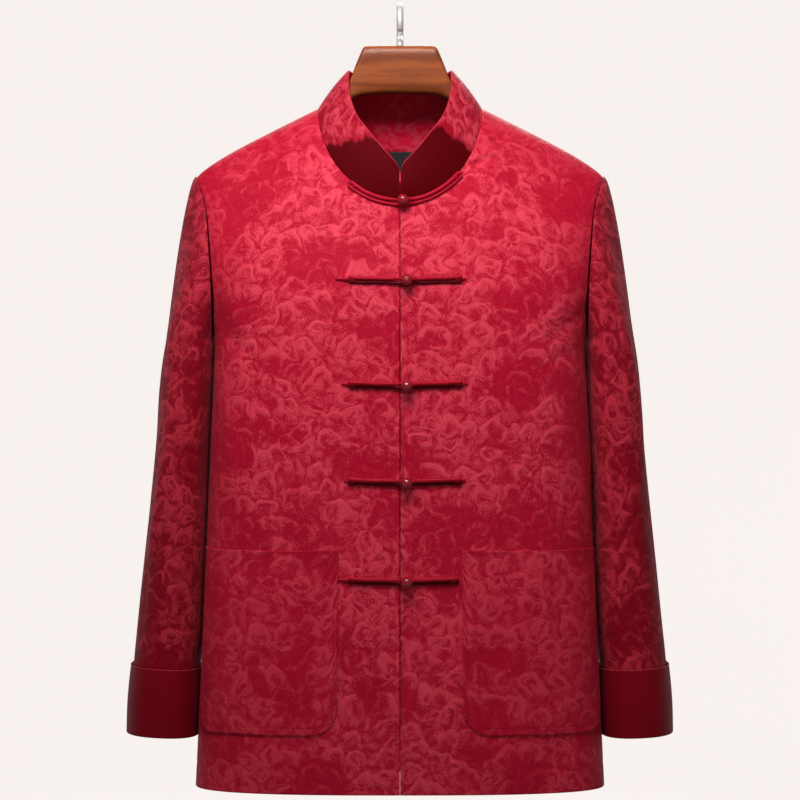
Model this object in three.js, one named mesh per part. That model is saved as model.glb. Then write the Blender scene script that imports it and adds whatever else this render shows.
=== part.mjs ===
// Tang jacket hanging on a wooden hanger. Millimetres, +Z up, the front faces -Y.
// The origin is inside the top of the hook, where a rail bears. Left and right are the wearer's,
// so left is +X. Heights on the garment are drops below the neck point, as a tailor measures them.

import * as THREE from 'three';

// ---------------------------------------------------------------- driving dimensions

const CLOTH_WALL = 2.0; // jacquard with its lining and interlining
const SEAM_GAP = 0.4; // space left between two sewn pieces
const LAID_ON = 0.7; // space under a piece that is sewn on top of a panel
const FACET_ALLOWANCE = 0.5; // how far a flat facet can stray from the true curve

const NECK_POINT = { x: 90, z: -108 }; // where collar, front and back meet on the shoulder
const SHOULDER_POINT_X = 224;
const SHOULDER_SLOPE = 0.5;
const SHOULDER_TIP_FALL = 8; // extra fall of the shoulder line at its outer end
const NECK_CROWN = 25; // how far the shoulder line would rise on to the centre of the neck
const FRONT_NECK_DROP = 104;
const BACK_NECK_DROP = 40;
const UNDERARM_DROP = 255;
const HEM_DROP = 742.5;
const BODY_SQUARENESS = 2.8; // 2 is an ellipse, more is boxier
const YOKE_HEIGHT = 260; // how far below the shoulder line the body reaches its full depth
const YOKE_SWELL = 0.62;

// Body: half of the width and the reach of front and back, level by level. Above the underarm
// the half width is that of the round form which the armhole cuts.
const BODY = [
  { drop: 0, halfWidth: 262, front: 80, back: 78 },
  { drop: 76, halfWidth: 258, front: 84, back: 82 },
  { drop: 112, halfWidth: 250, front: 88, back: 86 },
  { drop: 165, halfWidth: 233, front: 94, back: 92 },
  { drop: 208, halfWidth: 217, front: 98, back: 95 },
  { drop: 255, halfWidth: 204, front: 100, back: 97 },
  { drop: 302, halfWidth: 204.5, front: 101, back: 98 },
  { drop: 375, halfWidth: 208, front: 101, back: 98 },
  { drop: 466, halfWidth: 211.5, front: 100, back: 97 },
  { drop: 609, halfWidth: 217.5, front: 98, back: 96 },
  { drop: 690, halfWidth: 221.5, front: 97, back: 95 },
  { drop: 742.5, halfWidth: 224, front: 96, back: 94 },
];

// Armhole seam as seen from the front.
const ARMHOLE = [
  { drop: 74.7, reach: 224 },
  { drop: 112, reach: 212 },
  { drop: 165, reach: 206 },
  { drop: 208, reach: 203.5 },
  { drop: 255, reach: 204 },
];

// Sleeve below its head: the reach of its inner and outer side, its middle and half of its depth.
const SLEEVE_SQUARENESS = 2.5;
const SLEEVE_TILT = 0.055; // its rings rise outward, square to its slope
const SLEEVE = [
  { drop: 290, inner: 208.5, outer: 261, middle: 8, halfDepth: 64 },
  { drop: 321, inner: 210, outer: 264, middle: 10, halfDepth: 68 },
  { drop: 376, inner: 212.5, outer: 268.5, middle: 12, halfDepth: 71 },
  { drop: 431, inner: 214.5, outer: 274, middle: 13, halfDepth: 72 },
  { drop: 486, inner: 217, outer: 280, middle: 14, halfDepth: 71 },
  { drop: 541, inner: 219.5, outer: 286, middle: 14, halfDepth: 69 },
  { drop: 612, inner: 223, outer: 293, middle: 14, halfDepth: 67 },
  { drop: 650, inner: 225, outer: 296, middle: 14, halfDepth: 65.5 },
  { drop: 684, inner: 226.5, outer: 298, middle: 14, halfDepth: 64 },
];
const CUFF_TOP_DROP = 612;

// Patch pocket: drops of its edges, shares of the half width at its sides, corner radius.
const POCKET = { top: 481, bottom: 679, inner: 0.31, outer: 0.985, corner: 28 };

const COLLAR = {
  backTopRise: 27, // height of its top edge over the neck point at the centre back
  frontLean: 6, // how far its top edge leans in
  backLean: 15,
};
// Front half of the collar's top edge, from the centre front (share 0) to the neck point (1).
const COLLAR_EDGE = [
  { share: 0, x: 0, drop: 70.5 },
  { share: 0.1, x: 8, drop: 61.5 },
  { share: 0.2, x: 15.5, drop: 53.5 },
  { share: 0.35, x: 26, drop: 41 },
  { share: 0.5, x: 36.6, drop: 27 },
  { share: 0.65, x: 48, drop: 12 },
  { share: 0.8, x: 54.5, drop: -8 },
  { share: 0.9, x: 57.5, drop: -24 },
  { share: 1, x: 56.6, drop: -42 },
];

const PANKOU_DROPS = [null, 195, 306.5, 409.5, 515]; // the first one follows the neckline
const PANKOU = {
  loopEnd: -2,
  loopStart: -53,
  knotEnd: 14.5,
  knotStart: 64.5,
  halfWidth: 4,
  bead: 6.3,
  beadX: 7.2,
  topBeadX: 3, // the top fastening sits further to the loop's side
  topLoopEnd: -5,
  beadStandoff: 3.4, // room under the bead for the loop
  thickness: 4,
  underNeckline: 6,
  rise: 0.03, // its outer ends sit slightly higher
};

const HOOK = { wire: 3.75, innerRadius: 15, stemBottom: -39.7, from: -50, to: 205 };

// Hanger, from its middle outward: top, bottom, half of its thickness, and how boxy it is there.
const HANGER = [
  { x: 0, top: -40, bottom: -92, half: 12, squareness: 5 },
  { x: 22, top: -40, bottom: -92.5, half: 12, squareness: 5 },
  { x: 40, top: -40.5, bottom: -94, half: 12, squareness: 5 },
  { x: 47, top: -57, bottom: -96, half: 12, squareness: 4.5 },
  { x: 54, top: -75, bottom: -100, half: 11.5, squareness: 4 },
  { x: 70, top: -101, bottom: -125, half: 11, squareness: 2.4 },
  { x: 93, top: -121, bottom: -148, half: 9, squareness: 2 },
  { x: 130, top: -137, bottom: -165, half: 11, squareness: 2 },
  { x: 170, top: -157.5, bottom: -184, half: 11, squareness: 2 },
  { x: 200, top: -174.5, bottom: -196, half: 10.5, squareness: 2 },
];

const LABEL = { halfWidth: 14, x: 1.5, top: 43, bottom: 69, thickness: 0.8, clear: 1.1 };

// ---------------------------------------------------------------- grid of the panels

// Columns as shares of the half width, and rows as drops. They run along the pocket's edges.
const PANEL_COLUMNS = [
  0, 0.11, 0.21, POCKET.inner, 0.345, 0.43, 0.56, 0.69, 0.8, 0.885, 0.95, POCKET.outer, 1,
];
const NECK_COLUMNS = 6; // of these, the ones that end on the neckline
const SKIRT_DROPS = [
  HEM_DROP, 712, POCKET.bottom, 651, 620, 580, 530, POCKET.top, 430, 375, 315, UNDERARM_DROP,
];
const ARMHOLE_ROWS = 9;
const SLEEVE_HEAD_ROWS = 6;

// ---------------------------------------------------------------- small tools

/** Value of one column of a table at a drop, on a smooth line through its rows. */
function reading(table, column, place, key = 'drop') {
  const last = table.length - 1;
  let k = 0;
  while (k < last - 1 && table[k + 1][key] < place) k += 1;
  const a = table[k];
  const b = table[k + 1];
  const before = table[Math.max(k - 1, 0)];
  const after = table[Math.min(k + 2, last)];
  const span = b[key] - a[key];
  const t = THREE.MathUtils.clamp((place - a[key]) / span, 0, 1);
  const slopeA = (span * (b[column] - before[column])) / (b[key] - before[key]);
  const slopeB = (span * (after[column] - a[column])) / (after[key] - a[key]);
  const t2 = t * t;
  const t3 = t2 * t;
  return (
    (2 * t3 - 3 * t2 + 1) * a[column] + (t3 - 2 * t2 + t) * slopeA +
    (3 * t2 - 2 * t3) * b[column] + (t3 - t2) * slopeB
  );
}

/** Point of a squared circle of radius 1, an angle round from its second axis. */
function squaredCircle(angle, squareness) {
  const sine = Math.sin(angle);
  const cosine = Math.cos(angle);
  const size = Math.abs(sine) ** squareness + Math.abs(cosine) ** squareness;
  const radius = size ** (-1 / squareness);
  return [radius * sine, radius * cosine];
}

/** Angle at which the body's squared circle has this share of its half width. */
function angleAt(share) {
  const across = Math.min(share, 1);
  const out = (1 - across ** BODY_SQUARENESS) ** (1 / BODY_SQUARENESS);
  return Math.atan2(across, out);
}

const height = (drop) => NECK_POINT.z - drop;
const mix = (a, b, t) => a + (b - a) * t;

/** Outward normals of a grid of points, from the facets round each point. */
function gridNormals(grid, closed, facing) {
  const rows = grid.length;
  const columns = grid[0].length;
  const normals = grid.map((row) => row.map(() => new THREE.Vector3()));
  const lastColumn = closed ? columns : columns - 1;
  const across = new THREE.Vector3();
  const up = new THREE.Vector3();
  for (let j = 0; j < rows - 1; j += 1) {
    for (let i = 0; i < lastColumn; i += 1) {
      const next = (i + 1) % columns;
      across.subVectors(grid[j + 1][next], grid[j][i]);
      up.subVectors(grid[j + 1][i], grid[j][next]);
      const facet = new THREE.Vector3().crossVectors(across, up).multiplyScalar(facing);
      normals[j][i].add(facet);
      normals[j][next].add(facet);
      normals[j + 1][i].add(facet);
      normals[j + 1][next].add(facet);
    }
  }
  normals.forEach((row) => row.forEach((normal) => normal.normalize()));
  return normals;
}

/** Indexed geometry whose faces point out whichever way its grid ran. */
function solid(points, triangles) {
  let volume = 0;
  const across = new THREE.Vector3();
  for (const [a, b, c] of triangles) {
    volume += across.crossVectors(points[b], points[c]).dot(points[a]);
  }
  const faces = volume < 0 ? triangles.map(([a, b, c]) => [a, c, b]) : triangles;
  const geometry = new THREE.BufferGeometry();
  geometry.setFromPoints(points);
  geometry.setIndex(faces.flat());
  geometry.computeVertexNormals();
  return geometry;
}

/**
 * Closed wall of cloth over a grid: its outer side lies `over` mm outside the grid and its inner
 * side `under` mm inside it, with rims along every open edge. `keep` holds points behind a seam.
 */
function clothWall(grid, { closed = false, facing = 1, over = 0, under = CLOTH_WALL,
  normals = gridNormals(grid, closed, facing), keep = (point) => point } = {}) {
  const rows = grid.length;
  const columns = grid[0].length;
  const points = [];
  for (const distance of [over, -under]) {
    for (let j = 0; j < rows; j += 1) {
      for (let i = 0; i < columns; i += 1) {
        points.push(keep(grid[j][i].clone().addScaledVector(normals[j][i], distance)));
      }
    }
  }
  const innerSide = rows * columns;
  const at = (i, j, side) => side * innerSide + j * columns + (i % columns);
  const triangles = [];
  const quad = (a, b, c, d) => triangles.push([a, b, c], [a, c, d]);
  const lastColumn = closed ? columns : columns - 1;
  for (let j = 0; j < rows - 1; j += 1) {
    for (let i = 0; i < lastColumn; i += 1) {
      quad(at(i, j, 0), at(i + 1, j, 0), at(i + 1, j + 1, 0), at(i, j + 1, 0));
      triangles.push([at(i, j, 1), at(i + 1, j + 1, 1), at(i + 1, j, 1)]);
      triangles.push([at(i, j, 1), at(i, j + 1, 1), at(i + 1, j + 1, 1)]);
    }
  }
  for (let i = 0; i < lastColumn; i += 1) {
    quad(at(i, 0, 0), at(i, 0, 1), at(i + 1, 0, 1), at(i + 1, 0, 0));
    quad(at(i, rows - 1, 0), at(i + 1, rows - 1, 0), at(i + 1, rows - 1, 1), at(i, rows - 1, 1));
  }
  if (!closed) {
    for (let j = 0; j < rows - 1; j += 1) {
      quad(at(0, j, 0), at(0, j + 1, 0), at(0, j + 1, 1), at(0, j, 1));
      const end = columns - 1;
      quad(at(end, j, 0), at(end, j, 1), at(end, j + 1, 1), at(end, j + 1, 0));
    }
  }
  return solid(points, triangles);
}

/** Solid through closed rings, with a fan of triangles over each end. */
function solidLoft(rings) {
  const around = rings[0].length;
  const points = rings.flat();
  const triangles = [];
  for (let k = 0; k < rings.length - 1; k += 1) {
    for (let i = 0; i < around; i += 1) {
      const next = (i + 1) % around;
      const a = k * around;
      const b = a + around;
      triangles.push([a + i, a + next, b + next], [a + i, b + next, b + i]);
    }
  }
  for (const [ring, reversed] of [[0, true], [rings.length - 1, false]]) {
    const middle = new THREE.Vector3();
    rings[ring].forEach((point) => middle.addScaledVector(point, 1 / around));
    const centre = points.push(middle) - 1;
    for (let i = 0; i < around; i += 1) {
      const a = ring * around + i;
      const b = ring * around + ((i + 1) % around);
      triangles.push(reversed ? [centre, b, a] : [centre, a, b]);
    }
  }
  return solid(points, triangles);
}

/** The same piece for the wearer's other side. */
function mirrored(geometry) {
  const copy = geometry.clone().scale(-1, 1, 1);
  const index = copy.getIndex();
  for (let k = 0; k < index.count; k += 3) {
    const b = index.getX(k + 1);
    index.setX(k + 1, index.getX(k + 2));
    index.setX(k + 2, b);
  }
  copy.computeVertexNormals();
  return copy;
}

// ---------------------------------------------------------------- the body's form

const FRONT = { sign: -1, depth: 'front', neckDrop: FRONT_NECK_DROP };
const BACK = { sign: 1, depth: 'back', neckDrop: BACK_NECK_DROP };

/** Drop of the shoulder line at a distance from the centre. */
function shoulderDrop(x) {
  if (x < NECK_POINT.x) return -NECK_CROWN * (1 - (x / NECK_POINT.x) ** 2);
  const along = x - NECK_POINT.x;
  const share = along / (SHOULDER_POINT_X - NECK_POINT.x);
  return SHOULDER_SLOPE * along + SHOULDER_TIP_FALL * share ** 6;
}

/** Point of the front or back on the wearer's left, at an angle round the body and a drop. */
function bodyPoint(face, angle, drop) {
  const [across, out] = squaredCircle(angle, BODY_SQUARENESS);
  const x = reading(BODY, 'halfWidth', drop) * across;
  const below = THREE.MathUtils.clamp((drop - shoulderDrop(x)) / YOKE_HEIGHT, 0, 1);
  const swell = (1 - (1 - below) ** 2) ** YOKE_SWELL;
  const depth = reading(BODY, face.depth, drop) * out * swell;
  return new THREE.Vector3(x, face.sign * (depth + SEAM_GAP / 2), height(drop));
}

const angleOf = (x, drop) => angleAt(x / reading(BODY, 'halfWidth', drop));

/** Where the neckline runs, from the centre (0) to the neck point (1), as angle and drop. */
function necklineAt(face, share) {
  const turn = (share * Math.PI) / 2;
  const drop = face.neckDrop * Math.cos(turn);
  return [angleOf(NECK_POINT.x * Math.sin(turn), drop), drop];
}

/** Rows of angle and drop for half of the front or back, from hem to shoulder. */
function halfPanelLayout(face) {
  const columns = PANEL_COLUMNS.length - 1;
  const rows = SKIRT_DROPS.map((drop) => PANEL_COLUMNS.map((share) => [angleAt(share), drop]));
  const bottom = rows[rows.length - 1];
  const top = PANEL_COLUMNS.map((_, i) => {
    if (i <= NECK_COLUMNS) return necklineAt(face, i / NECK_COLUMNS);
    const along = (i - NECK_COLUMNS) / (columns - NECK_COLUMNS);
    const x = mix(NECK_POINT.x, SHOULDER_POINT_X, along);
    return [angleOf(x, shoulderDrop(x)), shoulderDrop(x)];
  });
  for (let j = 1; j <= ARMHOLE_ROWS; j += 1) {
    const v = (j / ARMHOLE_ROWS) ** 1.5;
    const armDrop = mix(UNDERARM_DROP, shoulderDrop(SHOULDER_POINT_X), v);
    const arm = [angleOf(reading(ARMHOLE, 'reach', armDrop), armDrop), armDrop];
    const straight = [0, 1].map((axis) => mix(bottom[columns][axis], top[columns][axis], v));
    rows.push(PANEL_COLUMNS.map((_, i) => {
      const nearArm = Math.max(i - NECK_COLUMNS, 0) / (columns - NECK_COLUMNS);
      return [0, 1].map((axis) => (
        mix(bottom[i][axis], top[i][axis], v) + nearArm * (arm[axis] - straight[axis])
      ));
    }));
  }
  return rows;
}

const halfGrid = (face) => (
  halfPanelLayout(face).map((row) => row.map(([angle, drop]) => bodyPoint(face, angle, drop)))
);

const frontGrid = halfGrid(FRONT);
frontGrid.forEach((row) => row.forEach((point) => { point.x = Math.max(point.x, SEAM_GAP / 2); }));
const frontNormals = gridNormals(frontGrid, false, 1);

const halfBack = halfGrid(BACK);
const backGrid = halfBack.map((row) => [
  ...row.slice().reverse(),
  ...row.slice(1).map((point) => new THREE.Vector3(-point.x, point.y, point.z)),
]);

function frontPanel() {
  const keep = (point) => {
    point.x = Math.max(point.x, SEAM_GAP / 2);
    point.y = Math.min(point.y, -SEAM_GAP / 2);
    return point;
  };
  return clothWall(frontGrid, { normals: frontNormals, keep });
}

function backPanel() {
  const keep = (point) => {
    point.y = Math.max(point.y, SEAM_GAP / 2);
    return point;
  };
  return clothWall(backGrid, { keep });
}

// ---------------------------------------------------------------- sleeve and cuff

/** Ring of the sleeve at a drop, from its inner side round the front to the outer and the back. */
function sleeveRing(drop) {
  const inner = reading(SLEEVE, 'inner', drop);
  const outer = reading(SLEEVE, 'outer', drop);
  const centre = (inner + outer) / 2;
  const halfWidth = (outer - inner) / 2;
  const ring = [];
  for (let r = 0; r < 2 * ARMHOLE_ROWS; r += 1) {
    const [front, inward] = squaredCircle((Math.PI * r) / ARMHOLE_ROWS, SLEEVE_SQUARENESS);
    const x = centre - halfWidth * inward;
    const y = reading(SLEEVE, 'middle', drop) - reading(SLEEVE, 'halfDepth', drop) * front;
    ring.push(new THREE.Vector3(x, y, height(drop) + SLEEVE_TILT * (x - centre)));
  }
  return ring;
}

/** The armhole as a ring, in the same order, and the body's normals along it. */
function armholeRing() {
  const backNormals = gridNormals(halfBack, false, -1);
  const seam = SKIRT_DROPS.length - 1;
  const last = PANEL_COLUMNS.length - 1;
  const ring = [];
  const normals = [];
  for (let r = 0; r < 2 * ARMHOLE_ROWS; r += 1) {
    const inFront = r <= ARMHOLE_ROWS;
    const row = seam + (inFront ? r : 2 * ARMHOLE_ROWS - r);
    const point = (inFront ? frontGrid : halfBack)[row][last].clone();
    const normal = (inFront ? frontNormals : backNormals)[row][last].clone();
    if (r % ARMHOLE_ROWS === 0) {
      point.y = 0;
      normal.y = 0;
      normal.normalize();
    }
    ring.push(point);
    normals.push(normal);
  }
  return { ring, normals };
}

const armhole = armholeRing();

/** Grid of the sleeve: its head eases from the armhole into the hanging tube. */
function sleeveGrid() {
  const gap = new THREE.Vector3(1, 0, -0.4).setLength(SEAM_GAP);
  const tube = sleeveRing(SLEEVE[0].drop);
  const rows = [];
  for (let k = 0; k < SLEEVE_HEAD_ROWS; k += 1) {
    const t = k / SLEEVE_HEAD_ROWS;
    const t2 = t * t;
    const t3 = t2 * t;
    rows.push(armhole.ring.map((start, r) => {
      const turn = (Math.PI * r) / ARMHOLE_ROWS;
      const outerShare = (1 - Math.cos(turn)) / 2;
      const leave = new THREE.Vector3(mix(6, 40, outerShare), -30 * Math.sin(turn), mix(-20, -45, outerShare));
      const arrive = new THREE.Vector3(mix(3, 20, outerShare), 0, mix(-40, -200, outerShare));
      return start.clone().add(gap).multiplyScalar(2 * t3 - 3 * t2 + 1)
        .addScaledVector(leave, t3 - 2 * t2 + t)
        .addScaledVector(tube[r], 3 * t2 - 2 * t3)
        .addScaledVector(arrive, t3 - t2);
    }));
  }
  SLEEVE.forEach((row) => rows.push(sleeveRing(row.drop)));
  return rows;
}

const sleeveRows = sleeveGrid();
const sleeveNormals = gridNormals(sleeveRows, true, -1);
sleeveNormals[0].forEach((normal, r) => {
  const outerShare = (1 - Math.cos((Math.PI * r) / ARMHOLE_ROWS)) / 2;
  normal.multiplyScalar(1 - outerShare).addScaledVector(armhole.normals[r], outerShare).normalize();
});

const sleeve = () => clothWall(sleeveRows, { closed: true, normals: sleeveNormals });

/** Satin band turned up over the end of the sleeve. */
function cuff() {
  const first = SLEEVE_HEAD_ROWS + SLEEVE.findIndex((row) => row.drop === CUFF_TOP_DROP);
  const rows = sleeveRows.slice(first).map((row) => row.map((point) => point.clone()));
  const turnUp = 3; // the band reaches a little past the sleeve inside it
  rows[rows.length - 1].forEach((point) => { point.z -= turnUp; });
  const over = LAID_ON + CLOTH_WALL;
  return clothWall(rows, { closed: true, facing: -1, over, under: -LAID_ON });
}

// ---------------------------------------------------------------- collar

/** Stand collar from the centre front round the back of the neck to the centre front. */
function collar() {
  const steps = 2 * NECK_COLUMNS;
  const quarter = [];
  for (let k = 0; k <= steps; k += 1) {
    const face = k <= NECK_COLUMNS ? FRONT : BACK;
    const share = k <= NECK_COLUMNS ? k / NECK_COLUMNS : (steps - k) / NECK_COLUMNS;
    const base = bodyPoint(face, ...necklineAt(face, share));
    if (share === 1) base.y = 0;
    const atFront = face === FRONT;
    const side = COLLAR_EDGE[COLLAR_EDGE.length - 1];
    const across = Math.sin((share * Math.PI) / 2);
    const x = atFront ? reading(COLLAR_EDGE, 'x', share, 'share') : side.x * across;
    const drop = atFront ? reading(COLLAR_EDGE, 'drop', share, 'share') : mix(-COLLAR.backTopRise, side.drop, across ** 2);
    const lean = 1 - (atFront ? COLLAR.frontLean : COLLAR.backLean) / Math.abs(bodyPoint(face, 0, face.neckDrop).y);
    quarter.push({ base, top: new THREE.Vector3(x, base.y * lean, height(drop)) });
  }
  const rise = new THREE.Vector3(0, 0, SEAM_GAP);
  const rows = [0, 1 / 3, 2 / 3, 1].map((t) => {
    const half = quarter.map(({ base, top }) => base.clone().add(rise).lerp(top, t));
    half[0].x = SEAM_GAP;
    const other = half.slice(0, -1).reverse().map((p) => new THREE.Vector3(-p.x, p.y, p.z));
    return [...half, ...other];
  });
  const keep = (point) => {
    if (Math.abs(point.x) < SEAM_GAP) point.x = SEAM_GAP * (Math.sign(point.x) || 1);
    return point;
  };
  const normals = gridNormals(rows, false, 1);
  normals.forEach((row) => { row[0].x = 0; row[row.length - 1].x = 0; });
  normals[0].forEach((normal) => { normal.z = 0; normal.normalize(); }); // a level lower edge
  return clothWall(rows, { normals, keep: (point) => (point.y < 0 ? keep(point) : point) });
}

// ---------------------------------------------------------------- pockets

/** Patch pocket made from the front panel's own points, moved out. */
function pocket() {
  const skirt = SKIRT_DROPS;
  const fromRow = skirt.indexOf(POCKET.bottom);
  const toRow = skirt.indexOf(POCKET.top);
  const edges = [PANEL_COLUMNS.indexOf(POCKET.inner), PANEL_COLUMNS.indexOf(POCKET.outer)];
  const rows = [];
  const normals = [];
  for (let j = fromRow; j <= toRow; j += 1) {
    rows.push([]);
    normals.push([]);
    for (let i = edges[0]; i <= edges[1]; i += 1) {
      const point = frontGrid[j][i].clone();
      if (j === fromRow || j === fromRow + 1) {
        const ends = edges.map((edge) => point.distanceTo(frontGrid[j][edge]));
        const inset = Math.max(POCKET.corner - Math.min(...ends), 0);
        const cut = POCKET.corner - Math.sqrt(POCKET.corner ** 2 - inset ** 2);
        const room = skirt[fromRow] - skirt[fromRow + 1];
        const raise = j === fromRow ? Math.min(cut / room, 0.85) : 0;
        point.lerp(frontGrid[j + 1][i], raise);
      }
      rows[rows.length - 1].push(point);
      normals[normals.length - 1].push(frontNormals[j][i]);
    }
  }
  return clothWall(rows, { normals, over: LAID_ON + CLOTH_WALL, under: -LAID_ON });
}

// ---------------------------------------------------------------- pankou

/** Drop at the middle of a strap, a distance from the centre front. */
function strapDrop(row, x) {
  if (PANKOU_DROPS[row] !== null) return PANKOU_DROPS[row] - PANKOU.rise * Math.abs(x);
  const across = Math.min(Math.abs(x) / NECK_POINT.x, 1);
  return FRONT_NECK_DROP * Math.sqrt(1 - across ** 2) + PANKOU.underNeckline;
}

const frontAt = (x, drop) => {
  const point = bodyPoint(FRONT, angleOf(Math.abs(x), drop), drop);
  point.x *= Math.sign(x);
  return point;
};

/** Flat strap of doubled cord from its sewn end to the button, narrowing on the way. */
function strap(row, sewnEnd, buttonEnd) {
  const steps = 7;
  const grid = [-1, 0, 1].map((edge) => {
    const line = [];
    for (let k = 0; k <= steps; k += 1) {
      const t = k / steps;
      const x = mix(sewnEnd, buttonEnd, t);
      const width = mix(PANKOU.halfWidth, PANKOU.halfWidth * 0.6, t);
      line.push(frontAt(x, strapDrop(row, x) - edge * width));
    }
    return line;
  });
  const facing = Math.sign(buttonEnd - sewnEnd);
  const over = LAID_ON + FACET_ALLOWANCE + PANKOU.thickness;
  return clothWall(grid, { facing, over, under: -LAID_ON - FACET_ALLOWANCE });
}

function bead(row) {
  const drop = row === 0 ? FRONT_NECK_DROP + PANKOU.underNeckline : PANKOU_DROPS[row];
  const seat = frontAt(row === 0 ? PANKOU.topBeadX : PANKOU.beadX, drop);
  const geometry = new THREE.SphereGeometry(PANKOU.bead, 12, 8).rotateX(Math.PI / 2);
  return geometry.translate(seat.x, seat.y - PANKOU.bead - PANKOU.beadStandoff, seat.z);
}

// ---------------------------------------------------------------- label and hanger

/** Small bare label inside the back, under the collar seam. */
function neckLabel() {
  const rows = [LABEL.bottom, LABEL.top].map((drop) => [1, 0, -1].map((side) => {
    const x = LABEL.x + side * LABEL.halfWidth;
    const point = bodyPoint(BACK, angleOf(Math.abs(x), drop), drop);
    point.x = x;
    return point;
  }));
  const depth = CLOTH_WALL + LABEL.clear;
  return clothWall(rows, { over: -depth, under: depth + LABEL.thickness });
}

function hangerWood() {
  const around = 12;
  const stations = [...HANGER.slice(1).reverse().map((row) => ({ ...row, x: -row.x })), ...HANGER];
  const rings = stations.map(({ x, top, bottom, half, squareness }) => {
    const ring = [];
    for (let i = 0; i < around; i += 1) {
      const angle = (2 * Math.PI * (i + 0.5)) / around;
      const [y, z] = squaredCircle(angle, squareness);
      ring.push(new THREE.Vector3(x, half * y, (top + bottom) / 2 + ((top - bottom) / 2) * z));
    }
    return ring;
  });
  return solidLoft(rings);
}

function hangerHook() {
  const radius = HOOK.innerRadius + HOOK.wire;
  const onCircle = (degrees) => {
    const turn = THREE.MathUtils.degToRad(degrees);
    return new THREE.Vector3(0, radius * Math.cos(turn), -HOOK.innerRadius + radius * Math.sin(turn));
  };
  const stem = new THREE.Vector3(0, 0, HOOK.stemBottom);
  const points = [stem, new THREE.Vector3(0, 0.2, HOOK.stemBottom + 5)];
  for (let degrees = HOOK.from; degrees <= HOOK.to; degrees += 15) points.push(onCircle(degrees));
  const path = new THREE.CatmullRomCurve3(points);
  const section = new THREE.Shape().absarc(0, 0, HOOK.wire, 0, 2 * Math.PI);
  return new THREE.ExtrudeGeometry(section, { steps: 34, curveSegments: 5, extrudePath: path });
}

// ---------------------------------------------------------------- the jacket

const MATERIALS = {
  damask: { color: 0xa8182f, roughness: 0.42, metalness: 0 },
  satin: { color: 0x6e0818, roughness: 0.38, metalness: 0 },
  cord: { color: 0x7a0c1c, roughness: 0.45, metalness: 0 },
  bead: { color: 0x5a0612, roughness: 0.15, metalness: 0 },
  label: { color: 0x1c1a1b, roughness: 0.8, metalness: 0 },
  wood: { color: 0x9a4f2b, roughness: 0.45, metalness: 0 },
  steel: { color: 0xb9b4ae, roughness: 0.3, metalness: 1 },
};

const jacket = new THREE.Group();

function add(name, geometry, finish) {
  const mesh = new THREE.Mesh(geometry, new THREE.MeshStandardMaterial(MATERIALS[finish]));
  mesh.name = name;
  jacket.add(mesh);
}

function addPair(name, geometry, finish) {
  add(`${name}_left`, geometry, finish);
  add(`${name}_right`, mirrored(geometry), finish);
}

addPair('front', frontPanel(), 'damask');
add('back', backPanel(), 'damask');
addPair('sleeve', sleeve(), 'damask');
addPair('cuff', cuff(), 'satin');
add('collar', collar(), 'satin');
addPair('pocket', pocket(), 'damask');
PANKOU_DROPS.forEach((_, row) => {
  const loopEnd = row === 0 ? PANKOU.topLoopEnd : PANKOU.loopEnd;
  add(`pankou_loop_${row + 1}`, strap(row, PANKOU.loopStart, loopEnd), 'cord');
  add(`pankou_knot_${row + 1}`, strap(row, PANKOU.knotStart, PANKOU.knotEnd), 'cord');
  add(`pankou_bead_${row + 1}`, bead(row), 'bead');
});
add('neck_label', neckLabel(), 'label');
add('hanger_wood', hangerWood(), 'wood');
add('hanger_hook', hangerHook(), 'steel');

export default jacket;
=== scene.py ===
"""Looks of the tang jacket and its hanger: damask shells, frog fastenings, satin, wood and wire.

Garment sizes are in millimetres, measured as drops below the neck point, and turn into metres
only when a mesh is made. Left and right are the wearer's, so left is +X; the front faces -Y.
"""

import math

import bmesh
import bpy
import numpy as np
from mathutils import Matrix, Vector


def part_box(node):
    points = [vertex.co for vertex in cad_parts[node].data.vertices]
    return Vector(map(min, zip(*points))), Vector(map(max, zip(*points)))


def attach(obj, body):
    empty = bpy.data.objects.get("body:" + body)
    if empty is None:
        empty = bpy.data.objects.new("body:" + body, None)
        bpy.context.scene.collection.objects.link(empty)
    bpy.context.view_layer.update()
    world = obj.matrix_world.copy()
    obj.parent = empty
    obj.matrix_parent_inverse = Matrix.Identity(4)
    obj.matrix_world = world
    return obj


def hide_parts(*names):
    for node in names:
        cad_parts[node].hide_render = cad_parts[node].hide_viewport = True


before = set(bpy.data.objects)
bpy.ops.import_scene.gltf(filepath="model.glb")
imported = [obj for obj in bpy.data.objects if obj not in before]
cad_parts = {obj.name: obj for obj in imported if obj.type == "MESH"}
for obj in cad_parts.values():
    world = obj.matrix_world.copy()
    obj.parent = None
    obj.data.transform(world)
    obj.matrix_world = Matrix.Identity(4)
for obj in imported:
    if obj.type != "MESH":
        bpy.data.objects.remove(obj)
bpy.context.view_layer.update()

MM = 0.001

# ------------------------------------------------------------------ sizes taken from the frame

NECK_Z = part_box("front_left")[1].z / MM
HEM_DROP = NECK_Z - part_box("back")[0].z / MM
HEM_HALF_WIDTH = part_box("back")[1].x / MM

# ------------------------------------------------------------------ driving dimensions, mm

CLOTH = 2.0
SEAM = 0.4
SEAM_ROLL = 0.55  # radius of a cloth's edge in a seam
EDGE_ROLL = 0.9  # and of a turned edge
SIDES = {1: "left", -1: "right"}  # the wearer's
NECK_X = 90.0
SHOULDER_X = 224.0
SHOULDER_SLOPE = 0.5
SHOULDER_TIP_FALL = 8.0
NECK_CROWN = 25.0
UNDERARM_DROP = 255.0
BODY_SQUARENESS = 2.8
YOKE_HEIGHT = 260.0
YOKE_SWELL = 0.62
SLEEVE_SQUARENESS = 2.5
SLEEVE_TILT = 0.055

FRONT = {"sign": -1, "depth": "front", "neck_drop": 104.0}
BACK = {"sign": 1, "depth": "back", "neck_drop": 40.0}


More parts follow.
